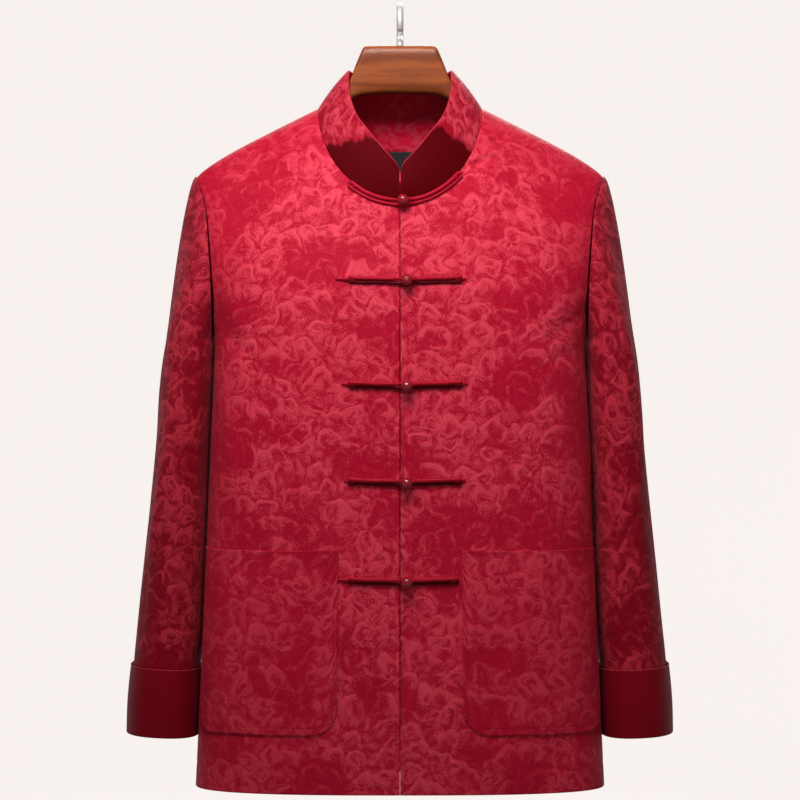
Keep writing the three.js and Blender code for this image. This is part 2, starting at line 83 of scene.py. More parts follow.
def rows_of(columns, *rows):
    """A table as a list of dicts, one for each row of numbers."""
    return [dict(zip(columns.split(), row)) for row in rows]


BODY = rows_of(
    "drop half_width front back",
    (0, 262, 80, 78),
    (76, 258, 84, 82),
    (112, 250, 88, 86),
    (165, 233, 94, 92),
    (208, 217, 98, 95),
    (255, 204, 100, 97),
    (302, 204.5, 101, 98),
    (375, 208, 101, 98),
    (466, 211.5, 100, 97),
    (609, 217.5, 98, 96),
    (690, 221.5, 97, 95),
    (HEM_DROP, HEM_HALF_WIDTH, 96, 94),
)
ARMHOLE = rows_of("drop reach", (74.7, 224), (112, 212), (165, 206), (208, 203.5), (255, 204))
SLEEVE = rows_of(
    "drop inner outer middle half_depth",
    (290, 208.5, 261, 8, 64),
    (321, 210, 264, 10, 68),
    (376, 212.5, 268.5, 12, 71),
    (431, 214.5, 274, 13, 72),
    (486, 217, 280, 14, 71),
    (541, 219.5, 286, 14, 69),
    (612, 223, 293, 14, 67),
    (650, 225, 296, 14, 65.5),
    (684, 226.5, 298, 14, 64),
)
# Shares of the half width that the panel's columns follow, from centre front to side seam.
PANEL_SHARES = (0, 0.11, 0.21, 0.31, 0.345, 0.43, 0.56, 0.69, 0.8, 0.885, 0.95, 0.985, 1)

POCKET = {"top": 481.0, "bottom": 679.0, "inner": 67.0, "outer": 0.985, "corner": 28.0, "wall": 1.7}
CUFF = {"top": 612.0, "wall": 2.0, "lift": 1.6, "past": 3.0}
COLLAR = {
    "back_top_rise": 27.0, "front_lean": 6.0, "back_lean": 15.0, "front_corner": 8.0,
    "bulge": 1.6, "piping": 0.6, "tucked_in": 0.7,
}
# Front half of the collar's top edge, from centre front (share 0) to the neck point (share 1).
COLLAR_EDGE = rows_of(
    "share x drop",
    (0, 0, 70.5), (0.1, 8, 61.5), (0.2, 15.5, 53.5), (0.35, 26, 41), (0.5, 36.6, 27),
    (0.65, 46.6, 13), (0.8, 53.4, -4), (0.9, 56.8, -22), (1, 56.6, -42),
)
PANKOU_DROPS = (None, 195.0, 306.5, 409.5, 515.0)  # the first one follows the neckline
TAILS = ((3, 3), (15, 6), (9, 8), (6, 5), (13, 2))  # how far the sewn ends run on, loop and knot
PANKOU = {
    "loop_start": -53.0, "knot_start": 64.0, "bead_x": 7.2, "top_bead_x": 3.0, "bead": 6.3,
    "bead_standoff": 3.4, "cords": {-1: 2.35, 1: 1.9}, "proud": {-1: 3.4, 1: 1.2}, "spread": 1.85,
    "loop_cord": 1.65, "loop_reach": 5.4, "under_neckline": 6.0, "rise": 0.03,
}
HANGER = rows_of(
    "x top bottom half squareness",
    (0, -40, -92, 12, 5),
    (22, -40, -92.5, 12, 5),
    (40, -40.5, -94, 12, 5),
    (47, -57, -96, 12, 4.5),
    (54, -75, -100, 11.5, 4),
    (70, -101, -125, 11, 2.4),
    (93, -121, -148, 9, 2),
    (130, -137, -165, 11, 2),
    (170, -157.5, -184, 11, 2),
    (200, -174.5, -196, 10.5, 2),
)
HOOK = {"wire": 3.75, "inner_radius": 15.0, "stem_bottom": -39.7}
LABEL = {"half_width": 14.0, "x": 1.5, "top": 43.0, "bottom": 69.0, "wall": 0.7, "inside": 1.6}

# ------------------------------------------------------------------ creases, placed one by one
# side is +1 or -1 for the wearer's left or right, x and drop give the middle, slant is the angle
# from upright in degrees (plus leans outward at the top), depth is outward: troughs are negative.

CREASE = "side x drop length width depth slant"
FRONT_CREASES = rows_of(
    CREASE,
    (-1, 108, 590, 330, 17, -1.9, 3), (-1, 66, 600, 240, 9, 1.2, -1), (-1, 24, 640, 190, 10, 1.2, 2),
    (-1, 40, 400, 260, 12, -0.9, 4), (-1, 186, 236, 96, 8, -1.8, 38), (-1, 178, 268, 84, 7, -1.1, 52),
    (-1, 160, 470, 240, 14, -1.3, -4), (-1, 196, 360, 210, 8, 1.1, 0), (-1, 150, 120, 120, 14, -1.4, 62),
    (-1, 70, 135, 60, 7, -0.9, 40), (-1, 130, 705, 90, 15, 1.3, 10), (-1, 58, 712, 70, 9, -1.2, -8),
    (1, 120, 560, 300, 16, -1.7, -4), (1, 63, 620, 210, 9, 1.3, 2), (1, 26, 600, 230, 10, 1.1, -2),
    (1, 46, 430, 240, 12, -1.0, -3), (1, 188, 232, 92, 8, -1.9, 40), (1, 176, 275, 88, 8, -1.0, 55),
    (1, 168, 500, 220, 14, -1.4, 3), (1, 194, 400, 230, 8, 1.2, 1), (1, 140, 112, 110, 13, -1.3, 60),
    (1, 84, 66, 66, 3.8, -3.4, 74), (1, 96, 55, 50, 4.2, 2.2, 72), (1, 103, 43, 58, 4.8, -2.6, 68),
    (1, 116, 712, 84, 14, 1.4, -12), (1, 50, 700, 76, 9, -1.1, 6), (1, 176, 690, 100, 12, -1.3, 6),
)
BACK_CREASES = rows_of(
    CREASE,
    (-1, 96, 560, 380, 19, -2.2, 3), (-1, 30, 480, 330, 15, 1.3, -2), (-1, 184, 240, 110, 9, -2.0, 42),
    (-1, 172, 290, 90, 8, -1.3, 58), (-1, 158, 610, 240, 14, 1.4, -4), (-1, 60, 120, 90, 12, -1.1, 66),
    (-1, 60, 706, 90, 12, -1.5, 8), (1, 110, 530, 360, 18, -2.0, -3), (1, 52, 600, 280, 14, 1.4, 3),
    (1, 186, 236, 104, 9, -2.1, 40), (1, 170, 284, 96, 8, -1.2, 56), (1, 164, 640, 200, 13, 1.3, 5),
    (1, 70, 116, 84, 11, -1.2, 64), (1, 20, 705, 84, 11, 1.3, -6),
)
# For sleeves x is the angle round from the inner side, through the front (90) and outer side (180).
SLEEVE_CREASES = rows_of(
    CREASE,
    (-1, 122, 360, 330, 9, 2.2, 3), (-1, 98, 420, 300, 8, -2.2, -3), (-1, 146, 520, 190, 8, -1.5, 5),
    (-1, 84, 560, 120, 7, 1.6, 8), (-1, 112, 250, 140, 8, -1.7, 14), (-1, 160, 300, 170, 9, 1.2, -5),
    (-1, 262, 380, 280, 10, -2.0, 5), (-1, 232, 500, 210, 9, 1.7, -6), (-1, 290, 440, 160, 8, -1.7, 20),
    (-1, 104, 470, 60, 7, -1.3, 55), (-1, 120, 440, 54, 6, -1.1, 48), (-1, 250, 450, 66, 7, -1.4, 60),
    (1, 118, 330, 300, 9, 2.3, -3), (1, 96, 400, 320, 8, -2.3, 3), (1, 142, 500, 210, 8, -1.6, -4),
    (1, 82, 540, 140, 7, 1.7, -7), (1, 110, 240, 130, 8, -1.8, 12), (1, 158, 320, 190, 9, 1.3, 5),
    (1, 258, 400, 300, 10, -2.1, -4), (1, 236, 520, 190, 9, 1.6, 6), (1, 286, 430, 170, 8, -1.6, 22),
    (1, 108, 455, 62, 7, -1.4, 52), (1, 124, 425, 50, 6, -1.1, 45), (1, 254, 440, 70, 7, -1.3, 58),
)


def crease_relief(table, side, x, drop):
    """How far the creases of one side lift the cloth, in mm, at one or many places."""
    lift = np.zeros(np.broadcast(x, drop).shape)
    for row in table:
        if row["side"] != side:
            continue
        slant = math.radians(row["slant"])
        across = (x - row["x"]) * math.cos(slant) + (drop - row["drop"]) * math.sin(slant)
        along = -(x - row["x"]) * math.sin(slant) + (drop - row["drop"]) * math.cos(slant)
        bow = across + 0.06 * row["length"] * np.sin(along / row["length"] * 4.0 + row["x"])
        taper = np.clip(1 - (2 * along / row["length"]) ** 2, 0, 1) ** 1.5
        lift = lift + row["depth"] * taper * np.exp(-((bow / row["width"]) ** 2))
    return lift


# ------------------------------------------------------------------ form of the garment

def eased_line(t, start, leave, end, arrive):
    """Point at a share t of the curve from start to end that has these directions at its ends."""
    t2, t3 = t * t, t * t * t
    return (
        (2 * t3 - 3 * t2 + 1) * start + (t3 - 2 * t2 + t) * leave
        + (3 * t2 - 2 * t3) * end + (t3 - t2) * arrive
    )


def reading(table, column, drop, key="drop"):
    """Smooth line through one column of a table, read at one or many drops, or another key."""
    drops = np.array([row[key] for row in table], float)
    values = np.array([row[column] for row in table], float)
    slopes = np.empty_like(values)
    slopes[1:-1] = (values[2:] - values[:-2]) / (drops[2:] - drops[:-2])
    slopes[0] = (values[1] - values[0]) / (drops[1] - drops[0])
    slopes[-1] = (values[-1] - values[-2]) / (drops[-1] - drops[-2])
    k = np.clip(np.searchsorted(drops, drop, side="right") - 1, 0, len(drops) - 2)
    span = drops[k + 1] - drops[k]
    share = np.clip((drop - drops[k]) / span, 0, 1)
    return eased_line(share, values[k], span * slopes[k], values[k + 1], span * slopes[k + 1])


def squared_circle(angle, squareness):
    """Point of a squared circle of radius 1, an angle round from its second axis."""
    sine, cosine = np.sin(angle), np.cos(angle)
    radius = (np.abs(sine) ** squareness + np.abs(cosine) ** squareness) ** (-1 / squareness)
    return radius * sine, radius * cosine


def angle_at(share):
    """Angle round the body at a share of its half width."""
    share = np.clip(share, 0, 1)
    return np.arctan2(share, (1 - share**BODY_SQUARENESS) ** (1 / BODY_SQUARENESS))


def angle_of(x, drop):
    return angle_at(np.abs(x) / reading(BODY, "half_width", drop))


def shoulder_drop(x):
    """Drop of the shoulder line at a distance from the centre."""
    along = np.maximum(x - NECK_X, 0)
    share = along / (SHOULDER_X - NECK_X)
    outside = SHOULDER_SLOPE * along + SHOULDER_TIP_FALL * share**6
    return np.where(x < NECK_X, -NECK_CROWN * (1 - (x / NECK_X) ** 2), outside)


def smooth_body(face, side, angle, drop):
    """Outer face of the body without its creases."""
    across, out = squared_circle(angle, BODY_SQUARENESS)
    x = reading(BODY, "half_width", drop) * across
    below = np.clip((drop - shoulder_drop(x)) / YOKE_HEIGHT, 0, 1)
    swell = (1 - (1 - below) ** 2) ** YOKE_SWELL
    depth = reading(BODY, face["depth"], drop) * out * swell + SEAM / 2
    return np.stack([side * x, face["sign"] * depth, NECK_Z - drop + 0 * x], axis=-1)


def unit(vectors):
    return vectors / np.maximum(np.linalg.norm(vectors, axis=-1, keepdims=True), 1e-9)


def body_place(face, side, angle, drop):
    """Point on the body's creased outer face and the outward direction there."""
    angle, drop = np.broadcast_arrays(np.asarray(angle, float), np.asarray(drop, float))
    point = smooth_body(face, side, angle, drop)
    turned = smooth_body(face, side, angle + 0.01, drop) - smooth_body(face, side, angle - 0.01, drop)
    lower = smooth_body(face, side, angle, drop + 1.5) - point
    outward = unit(np.cross(turned, lower)) * (side * face["sign"])
    table = FRONT_CREASES if face is FRONT else BACK_CREASES
    relief = crease_relief(table, side, np.abs(point[..., 0]), drop)
    return point + outward * relief[..., None], outward


# ------------------------------------------------------------------ grids to closed walls

def grid_normals(grid, facing, closed):
    """Outward directions on a grid of points. A closed grid repeats its first column at the end."""
    if closed:
        wrapped = np.concatenate([grid[:, -2:-1], grid, grid[:, 1:2]], axis=1)
        across = np.gradient(wrapped, axis=1)[:, 1:-1]
    else:
        across = np.gradient(grid, axis=1)
    return unit(np.cross(across, np.gradient(grid, axis=0))) * facing


ROLL_STEPS = (0.45, 0.75, 0.93, 1.0)


def roll_edge(sheet, axis, at_end, radius):
    """Adds lines that carry a wall round one soft edge of its grid, within the edge's place."""
    lines = {key: np.moveaxis(value, axis, 0) for key, value in sheet.items()}
    if at_end:
        lines = {key: value[::-1] for key, value in lines.items()}
    mid = lines["mid"].copy()
    out = unit(mid[0] - mid[1])
    mid[0] = mid[0] - out * radius
    lines["mid"] = mid
    added = {key: [] for key in lines}
    for step in reversed(ROLL_STEPS):
        added["mid"].append(mid[0] + out * radius * step)
        added["normal"].append(lines["normal"][0])
        added["uv"].append(lines["uv"][0])
        added["half"].append(lines["half"][0] * math.sqrt(1 - step * step))
    for key, value in lines.items():
        value = np.concatenate([np.stack(added[key]), value])
        lines[key] = np.moveaxis(value[::-1] if at_end else value, 0, axis)
    return lines


def wall(name, outer, uv, facing, thickness=CLOTH, closed=False, rolls=None, normals=None):
    """Closed cloth wall whose outer face is a grid of points in mm, with soft rolled edges.

    rolls gives the edge radius at (first column, last column, first row, last row).
    """
    if normals is None:
        normals = grid_normals(outer, facing, closed)
    half = np.full(outer.shape[:2] + (1,), thickness / 2)
    sheet = {"mid": outer - normals * thickness / 2, "normal": normals, "uv": uv, "half": half}
    first, last, low, high = rolls or (SEAM_ROLL,) * 4
    if not closed:
        sheet = roll_edge(sheet, 1, False, first)
        sheet = roll_edge(sheet, 1, True, last)
    sheet = roll_edge(sheet, 0, False, low)
    sheet = roll_edge(sheet, 0, True, high)
    rows, columns = sheet["mid"].shape[:2]
    outside = sheet["mid"] + sheet["normal"] * sheet["half"]
    inside = sheet["mid"] - sheet["normal"] * sheet["half"]
    points = np.concatenate([outside.reshape(-1, 3), inside.reshape(-1, 3)]) * MM
    index = np.arange(rows * columns).reshape(rows, columns)
    quads = np.stack([index[:-1, :-1], index[:-1, 1:], index[1:, 1:], index[1:, :-1]], axis=-1)
    quads = quads.reshape(-1, 4)
    inner = quads[:, ::-1] + rows * columns
    faces = np.concatenate([quads, inner] if facing > 0 else [quads[:, ::-1], inner[:, ::-1]])
    uvs = np.tile(sheet["uv"].reshape(-1, 2), (2, 1)) * MM
    return piece_from(name, points, faces.tolist(), uvs)


def ring_faces(rings, sides, closed=False):
    """Quads between rings of points that follow each other."""
    faces = []
    for ring in range(rings if closed else rings - 1):
        a, b = ring * sides, (ring + 1) % rings * sides
        for i in range(sides):
            j = (i + 1) % sides
            faces.append((a + i, a + j, b + j, b + i))
    return faces


def put(name, data):
    """New object in the scene."""
    made = bpy.data.objects.new(name, data)
    bpy.context.scene.collection.objects.link(made)
    return made


def piece_from(name, points, faces, uvs=None):
    """Smooth mesh object from points in metres, with doubled points joined."""
    mesh = bpy.data.meshes.new(name)
    mesh.from_pydata(points.tolist(), [], faces)
    if uvs is not None:
        layer = mesh.uv_layers.new(name="cloth")
        corners = np.empty(len(mesh.loops), np.int32)
        mesh.loops.foreach_get("vertex_index", corners)
        layer.data.foreach_set("uv", uvs[corners].astype(np.float32).ravel())
    work = bmesh.new()
    work.from_mesh(mesh)
    bmesh.ops.remove_doubles(work, verts=work.verts, dist=2e-6)
    bmesh.ops.dissolve_degenerate(work, edges=work.edges, dist=1e-7)
    bmesh.ops.recalc_face_normals(work, faces=work.faces)
    if work.calc_volume(signed=True) < 0:
        bmesh.ops.reverse_faces(work, faces=work.faces)
    work.to_mesh(mesh)
    work.free()
    mesh.shade_smooth()
    return put(name, mesh)


def mark_points(mesh, name, values):
    """Gives each point of a mesh a number that its material reads."""
    mark = mesh.attributes.new(name, "FLOAT", "POINT")
    mark.data.foreach_set("value", np.asarray(values, np.float32))


def set_painted_light_plain(piece, rule):
    """Marks where the cloth shows bare satin, by a rule of place in mm: the pattern faded out as painted
    light, and above a half a painted shade.
    """
    places = np.empty(len(piece.data.vertices) * 3, np.float32)
    piece.data.vertices.foreach_get("co", places)
    x, y, z = places.reshape(-1, 3).T / MM
    mark_points(piece.data, "plain", np.clip(rule(x, y, NECK_Z - z), 0, 1))


def mark_painted_glow(piece):
    """Marks the inner face of the back of the collar, which faces the wearer's front, where a glow of
    light is painted.
    """
    values = []
    for point in piece.data.vertices:
        faces_front = np.clip(-point.normal.y * 3 - 0.6, 0, 1)
        values.append(faces_front * np.clip(point.co.y / MM / 12, 0, 1))
    mark_points(piece.data, "inside", values)


def row_lengths(grid, axis):
    """Length along a grid's lines, from their first point."""
    steps = np.linalg.norm(np.diff(grid, axis=axis), axis=-1)
    start = np.zeros_like(np.take(steps, [0], axis=axis))
    return np.concatenate([start, np.cumsum(steps, axis=axis)], axis=axis)


def dress(piece, material, nodes=()):
    """Gives a piece its material and its body, and hides the CAD solids it stands for."""
    piece.data.materials.clear()
    piece.data.materials.append(material)
    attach(piece, "root")
    if nodes:
        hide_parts(*nodes)
    return piece


# ------------------------------------------------------------------ node graphs

class Graph:
    """Short way to add nodes to a tree and join them."""

    def __init__(self, tree):
        self.tree = tree

    def add(self, kind, settings=None, **inputs):
        node = self.tree.nodes.new(kind)
        for key, value in (settings or {}).items():
            setattr(node, key, value)
        for key, value in inputs.items():
            self.feed(node.inputs[key.replace("_", " ")], value)
        return node

    def feed(self, socket, value):
        if isinstance(value, bpy.types.NodeSocket):
            self.tree.links.new(value, socket)
        else:
            socket.default_value = value

    def worked_out(self, kind, operation, values):
        node = self.add(kind, {"operation": operation})
        for socket, value in zip(node.inputs, values):
            self.feed(socket, value)
        return node.outputs[0]

    def math(self, operation, *values):
        return self.worked_out("ShaderNodeMath", operation, values)

    def times(self, a, b):
        return self.math("MULTIPLY", a, b)

    def times_plus(self, a, b, c):
        return self.math("MULTIPLY_ADD", a, b, c)

    def minus(self, a, b):
        return self.math("SUBTRACT", a, b)

    def vector(self, operation, *values):
        return self.worked_out("ShaderNodeVectorMath", operation, values)

    def scaled(self, vector, scale):
        node = self.add("ShaderNodeVectorMath", {"operation": "SCALE"}, Scale=scale)
        self.feed(node.inputs[0], vector)
        return node.outputs[0]

    def step(self, value, low, high):
        """0 below low, 1 above high, smooth between."""
        node = self.add("ShaderNodeMapRange", {"interpolation_type": "SMOOTHSTEP"},
                        Value=value, From_Min=low, From_Max=high)
        return node.outputs[0]

    def noise(self, vector, scale, detail=2.0, rough=0.5):
        return self.add("ShaderNodeTexNoise", None,
                        Vector=vector, Scale=scale, Detail=detail, Roughness=rough)

    def mark(self, name):
        """A number that the piece's points carry, 0 on pieces without it."""
        return self.add("ShaderNodeAttribute", {"attribute_name": name}).outputs["Fac"]

    def cloth_place(self):
        """Place on the flat cloth."""
        return self.add("ShaderNodeUVMap", {"uv_map": "cloth"}).outputs["UV"]

    def object_place(self):
        return self.add("ShaderNodeTexCoord").outputs["Object"]

    def mix(self, share, a, b):
        node = self.add("ShaderNodeMix", {"data_type": "RGBA"}, Factor=share)
        self.feed(node.inputs[6], a)
        self.feed(node.inputs[7], b)
        return node.outputs[2]

    def parts(self, vector):
        return self.add("ShaderNodeSeparateXYZ", None, Vector=vector).outputs

    def group(self, tree, **inputs):
        node = self.tree.nodes.new("ShaderNodeGroup")
        node.node_tree = tree
        for key, value in inputs.items():
            self.feed(node.inputs[key.replace("_", " ")], value)
        return node.outputs


def node_group(name, inputs, outputs):
    """Empty shader node group with named sockets. Returns its graph, inputs and output node."""
    tree = bpy.data.node_groups.new(name, "ShaderNodeTree")
    for label, kind, value in inputs:
        socket = tree.interface.new_socket(label, in_out="INPUT", socket_type="NodeSocket" + kind)
        if value is not None:
            socket.default_value = value
    for label, kind in outputs:
        tree.interface.new_socket(label, in_out="OUTPUT", socket_type="NodeSocket" + kind)
    start = tree.nodes.new("NodeGroupInput")
    end = tree.nodes.new("NodeGroupOutput")
    return Graph(tree), start.outputs, end.inputs


def cloud_damask_group():
    """Traditional clouds: drifts of billows with upper rims painted lighter as if lit from above, and
    curling heads, grainy and soft.
    """
    graph, given, made = node_group(
        "cloud damask",
        [("Vector", "Vector", None), ("Billow Size", "Float", 0.026), ("Grain Size", "Float", 0.0016),
         ("Cover", "Float", 0.5)],
        [("Motif", "Float"), ("Relief", "Float")],
    )
    place = graph.scaled(given["Vector"], graph.math("DIVIDE", 1.0, given["Billow Size"]))
    sway = graph.vector("SUBTRACT", graph.noise(place, 0.7, 2.0).outputs["Color"], (0.5, 0.5, 0.5))
    place = graph.vector("ADD", place, graph.scaled(sway, 1.3))

    billow = graph.add("ShaderNodeTexVoronoi", {"voronoi_dimensions": "2D"},
                       Vector=place, Scale=1.0, Randomness=0.9)
    across, up, _ = graph.parts(graph.vector("SUBTRACT", place, billow.outputs["Position"]))
    reach = billow.outputs["Distance"]
    chance = graph.parts(billow.outputs["Color"])
    rim = graph.times(graph.step(reach, 0.2, 0.42), graph.step(reach, 0.56, 0.46))
    lit_side = graph.step(graph.times_plus(chance[2], 0.3, up), -0.25, 0.3)
    rim = graph.times(rim, lit_side)

    hand = graph.times_plus(graph.math("GREATER_THAN", chance[0], 0.5), 2.0, -1.0)
    turn = graph.times(graph.math("ARCTAN2", up, across), 1 / (2 * math.pi))
    phase = graph.times_plus(turn, hand, graph.times_plus(reach, 2.4, chance[1]))
    swing = graph.math("ABSOLUTE", graph.minus(graph.math("FRACT", phase), 0.5))
    curl = graph.times(graph.step(swing, 0.2, 0.06), graph.step(reach, 0.5, 0.34))
    curl = graph.times(curl, graph.step(chance[2], 0.25, 0.45))

    tuft = graph.add("ShaderNodeTexVoronoi", {"voronoi_dimensions": "2D"},
                     Vector=place, Scale=2.3, Randomness=1.0)
    tufts = graph.step(tuft.outputs["Distance"], 0.6, 0.15)

    drift = graph.noise(place, 0.31, 3.0, 0.5).outputs["Fac"]
    cover = given["Cover"]
    drift = graph.step(drift, graph.minus(cover, 0.045), graph.math("ADD", cover, 0.055))
    patchy = graph.minus(graph.noise(place, 3.6, 3.0, 0.6).outputs["Fac"], 0.5)
    body = graph.times_plus(rim, 0.55, 0.22)
    body = graph.times_plus(curl, 0.4, body)
    body = graph.times_plus(tufts, 0.3, body)
    dense = graph.times(drift, body)
    dense = graph.times_plus(graph.minus(1.0, drift), graph.times(rim, 0.34), dense)
    graph.feed(made["Relief"], graph.times_plus(patchy, 0.3, dense))

    fine = graph.vector("MULTIPLY", given["Vector"], (1.0, 2.1, 1.0))
    fine = graph.scaled(fine, graph.math("DIVIDE", 1.0, given["Grain Size"]))
    grain = graph.minus(graph.noise(fine, 1.0, 2.0, 0.6).outputs["Fac"], 0.5)
    dense = graph.times_plus(patchy, 1.5, dense)
    dense = graph.times_plus(grain, 2.2, dense)
    graph.feed(made["Motif"], graph.step(dense, 0.06, 0.84))
    return graph.tree


def silk_weave_group():
    """Glints of silk floats: fine, broken, and longer across the cloth than along it."""
    graph, given, made = node_group(
        "silk weave",
        [("Vector", "Vector", None), ("Float Length", "Float", 0.0022)],
        [("Glint", "Float"), ("Thread", "Float"), ("Cloudiness", "Float")],
    )
    rate = graph.math("DIVIDE", 1.0, given["Float Length"])
    lengthwise = graph.vector("MULTIPLY", given["Vector"], (1.0, 2.6, 1.0))
    speck = graph.noise(graph.scaled(lengthwise, rate), 1.0, 3.0, 0.7).outputs["Fac"]
    graph.feed(made["Glint"], graph.step(speck, 0.38, 0.72))
    across, up, _ = graph.parts(graph.scaled(given["Vector"], 2400.0))
    twill = graph.math("SINE", graph.times_plus(up, 2.0, across))
    graph.feed(made["Thread"], graph.times_plus(twill, 0.5, 0.5))
    graph.feed(made["Cloudiness"], graph.noise(given["Vector"], 7.0, 2.0).outputs["Fac"])
    return graph.tree


def wood_grain_group():
    """Long grain along X with darker growth lines and open pores."""
    graph, given, made = node_group(
        "wood grain", [("Vector", "Vector", None), ("Grain Size", "Float", 0.011)],
        [("Ring", "Float"), ("Pore", "Float"), ("Shade", "Float")],
    )
    stretched = graph.vector("MULTIPLY", given["Vector"], (0.11, 1.0, 1.0))
    place = graph.scaled(stretched, graph.math("DIVIDE", 1.0, given["Grain Size"]))
    sway = graph.noise(place, 0.6, 3.0).outputs["Fac"]
    _, back, up = graph.parts(place)
    lines = graph.times_plus(sway, 5.0, graph.times_plus(back, 0.5, up))
    waves = graph.math("SINE", graph.times(lines, 2.4))
    graph.feed(made["Ring"], graph.times_plus(waves, 0.5, 0.5))
    fine = graph.noise(graph.vector("MULTIPLY", given["Vector"], (60.0, 1600.0, 1600.0)), 1.0, 2.0, 0.6)
    graph.feed(made["Pore"], graph.step(fine.outputs["Fac"], 0.56, 0.7))
    graph.feed(made["Shade"], graph.noise(place, 0.25, 2.0).outputs["Fac"])
    return graph.tree


CLOUDS = cloud_damask_group()
SILK = silk_weave_group()
GRAIN = wood_grain_group()

GROUND_RED = (0.380, 0.0034, 0.0215, 1)
# The motif red is the woven cloud pattern together with painted sheen: lighter and paler where the silk
# floats would shine.
MOTIF_AND_SHEEN_RED = (0.800, 0.0660, 0.1080, 1)
# Painted shade: the collar colours are a darker copy of the body's damask.
COLLAR_SHADED_GROUND = (0.240, 0.0020, 0.0125, 1)
COLLAR_SHADED_MOTIF_AND_SHEEN = (0.640, 0.0560, 0.0900, 1)
# Painted shade: the sleeve colours are a darker copy of the body's damask, standing for the dimmer light
# on the sleeves.
SLEEVE_SHADED_GROUND = (0.200, 0.0013, 0.0095, 1)
SLEEVE_SHADED_MOTIF_AND_SHEEN = (0.560, 0.0340, 0.0600, 1)
# Painted shade: a dark satin for the front of the collar and the lower fastening cords, where they lie in
# shade.
SHADED_SATIN = (0.070, 0.0001, 0.0012, 1)
# Painted light: a lighter red for the glow of light that comes through to the inside of the back of the
# collar.
PAINTED_GLOW_RED = (0.62, 0.004, 0.030, 1)
SATIN_RED = (0.175, 0.0006, 0.0060, 1)
CORD_RED = (0.330, 0.0030, 0.0150, 1)


def new_material(name, **sockets):
    """Material with a Principled shader whose plain values are given. Returns it and its graph."""
    material = bpy.data.materials.new(name)
    material.use_nodes = True
    shader = material.node_tree.nodes["Principled BSDF"]
    for key, value in sockets.items():
        shader.inputs[key.replace("_", " ")].default_value = value
    return material, Graph(material.node_tree), shader


def set_relief(graph, shader, height, distance):
    bump = graph.add("ShaderNodeBump", None, Distance=distance, Height=height)
    graph.feed(shader.inputs["Normal"], bump.outputs["Normal"])


def lighter(colour, share, lift=0.0):
    return tuple(min(1.0, part * share + lift) for part in colour[:3]) + (1,)


def silk_damask(name, shift, ground=GROUND_RED, motif_and_sheen_red=MOTIF_AND_SHEEN_RED, gloss=(1.0, 0.30, 0.36, 1)):
    """Red silk damask: "plain" fades the pattern out to bare satin and, above a half, paints it as dark
    shaded satin, a painted shade; "inside" paints a glow of light into a lit hollow.
    """
    material, graph, shader = new_material(
        name, Sheen_Weight=0.10, Sheen_Roughness=0.5, Sheen_Tint=gloss,
        Specular_IOR_Level=0.14, Specular_Tint=gloss)
    place = graph.vector("ADD", graph.cloth_place(), shift)
    bare = graph.mark("plain")
    clouds = graph.group(CLOUDS, Vector=place, Billow_Size=0.024, Grain_Size=0.0019, Cover=0.45)
    silk = graph.group(SILK, Vector=place, Float_Length=0.0020)
    woven = graph.minus(1.0, bare)
    motif = graph.times(clouds["Motif"], woven)
    tone = graph.mix(silk["Cloudiness"], ground, lighter(ground, 1.22))
    # Painted light: the inside of the back of the collar glows lighter.
    painted_glow = graph.mark("inside")
    tone = graph.mix(painted_glow, tone, PAINTED_GLOW_RED)
    # Painted shade: where the plain mark passes a half, the cloth turns to dark shaded satin.
    tone = graph.mix(graph.step(bare, 0.55, 0.95), tone, SHADED_SATIN)
    # Painted sheen and glints: the motif is laid on in the lighter red, flecked by the silk's glints.
    lit = graph.times(motif, graph.times_plus(silk["Glint"], 0.4, 0.6))
    graph.feed(shader.inputs["Base Color"], graph.mix(lit, tone, motif_and_sheen_red))
    rough = graph.times_plus(motif, -0.10, 0.50)
    graph.feed(shader.inputs["Roughness"], graph.times_plus(silk["Glint"], -0.08, rough))
    height = graph.times_plus(silk["Thread"], 0.05, graph.times(clouds["Relief"], woven))
    height = graph.times_plus(silk["Glint"], 0.12, height)
    set_relief(graph, shader, height, 0.0007)
    return material


def plain_satin(name, colour, shine=0.36):
    """Bare satin of cuffs, cords and edges."""
    material, graph, shader = new_material(
        name, Sheen_Weight=0.06, Sheen_Roughness=0.5, Sheen_Tint=(1.0, 0.2, 0.3, 1),
        Specular_IOR_Level=0.3, Specular_Tint=(1.0, 0.2, 0.3, 1))
    silk = graph.group(SILK, Vector=graph.cloth_place(), Float_Length=0.0016)
    tone = graph.times_plus(silk["Cloudiness"], 0.6, graph.times(silk["Glint"], 0.35))
    shade = graph.mark("shade")
    tone = graph.mix(tone, colour, lighter(colour, 1.35, 0.002))
    # Painted shadow: where the shade mark is 1 the cord is dark shaded satin.
    graph.feed(shader.inputs["Base Color"], graph.mix(shade, tone, SHADED_SATIN))
    graph.feed(shader.inputs["Roughness"], graph.times_plus(silk["Glint"], -0.08, shine + 0.06))
    height = graph.times_plus(silk["Thread"], 0.4, graph.times(silk["Glint"], 0.3))
    set_relief(graph, shader, height, 0.00012)
    return material


def polished_bead():
    material, graph, shader = new_material(
        "polished bead", Roughness=0.2, Coat_Weight=0.5, Coat_Roughness=0.05, Specular_IOR_Level=0.35)
    place = graph.object_place()
    veins = graph.noise(place, 420.0, 3.0).outputs["Fac"]
    tone = graph.mix(veins, (0.10, 0.001, 0.004, 1), (0.42, 0.008, 0.022, 1))
    graph.feed(shader.inputs["Base Color"], tone)
    return material


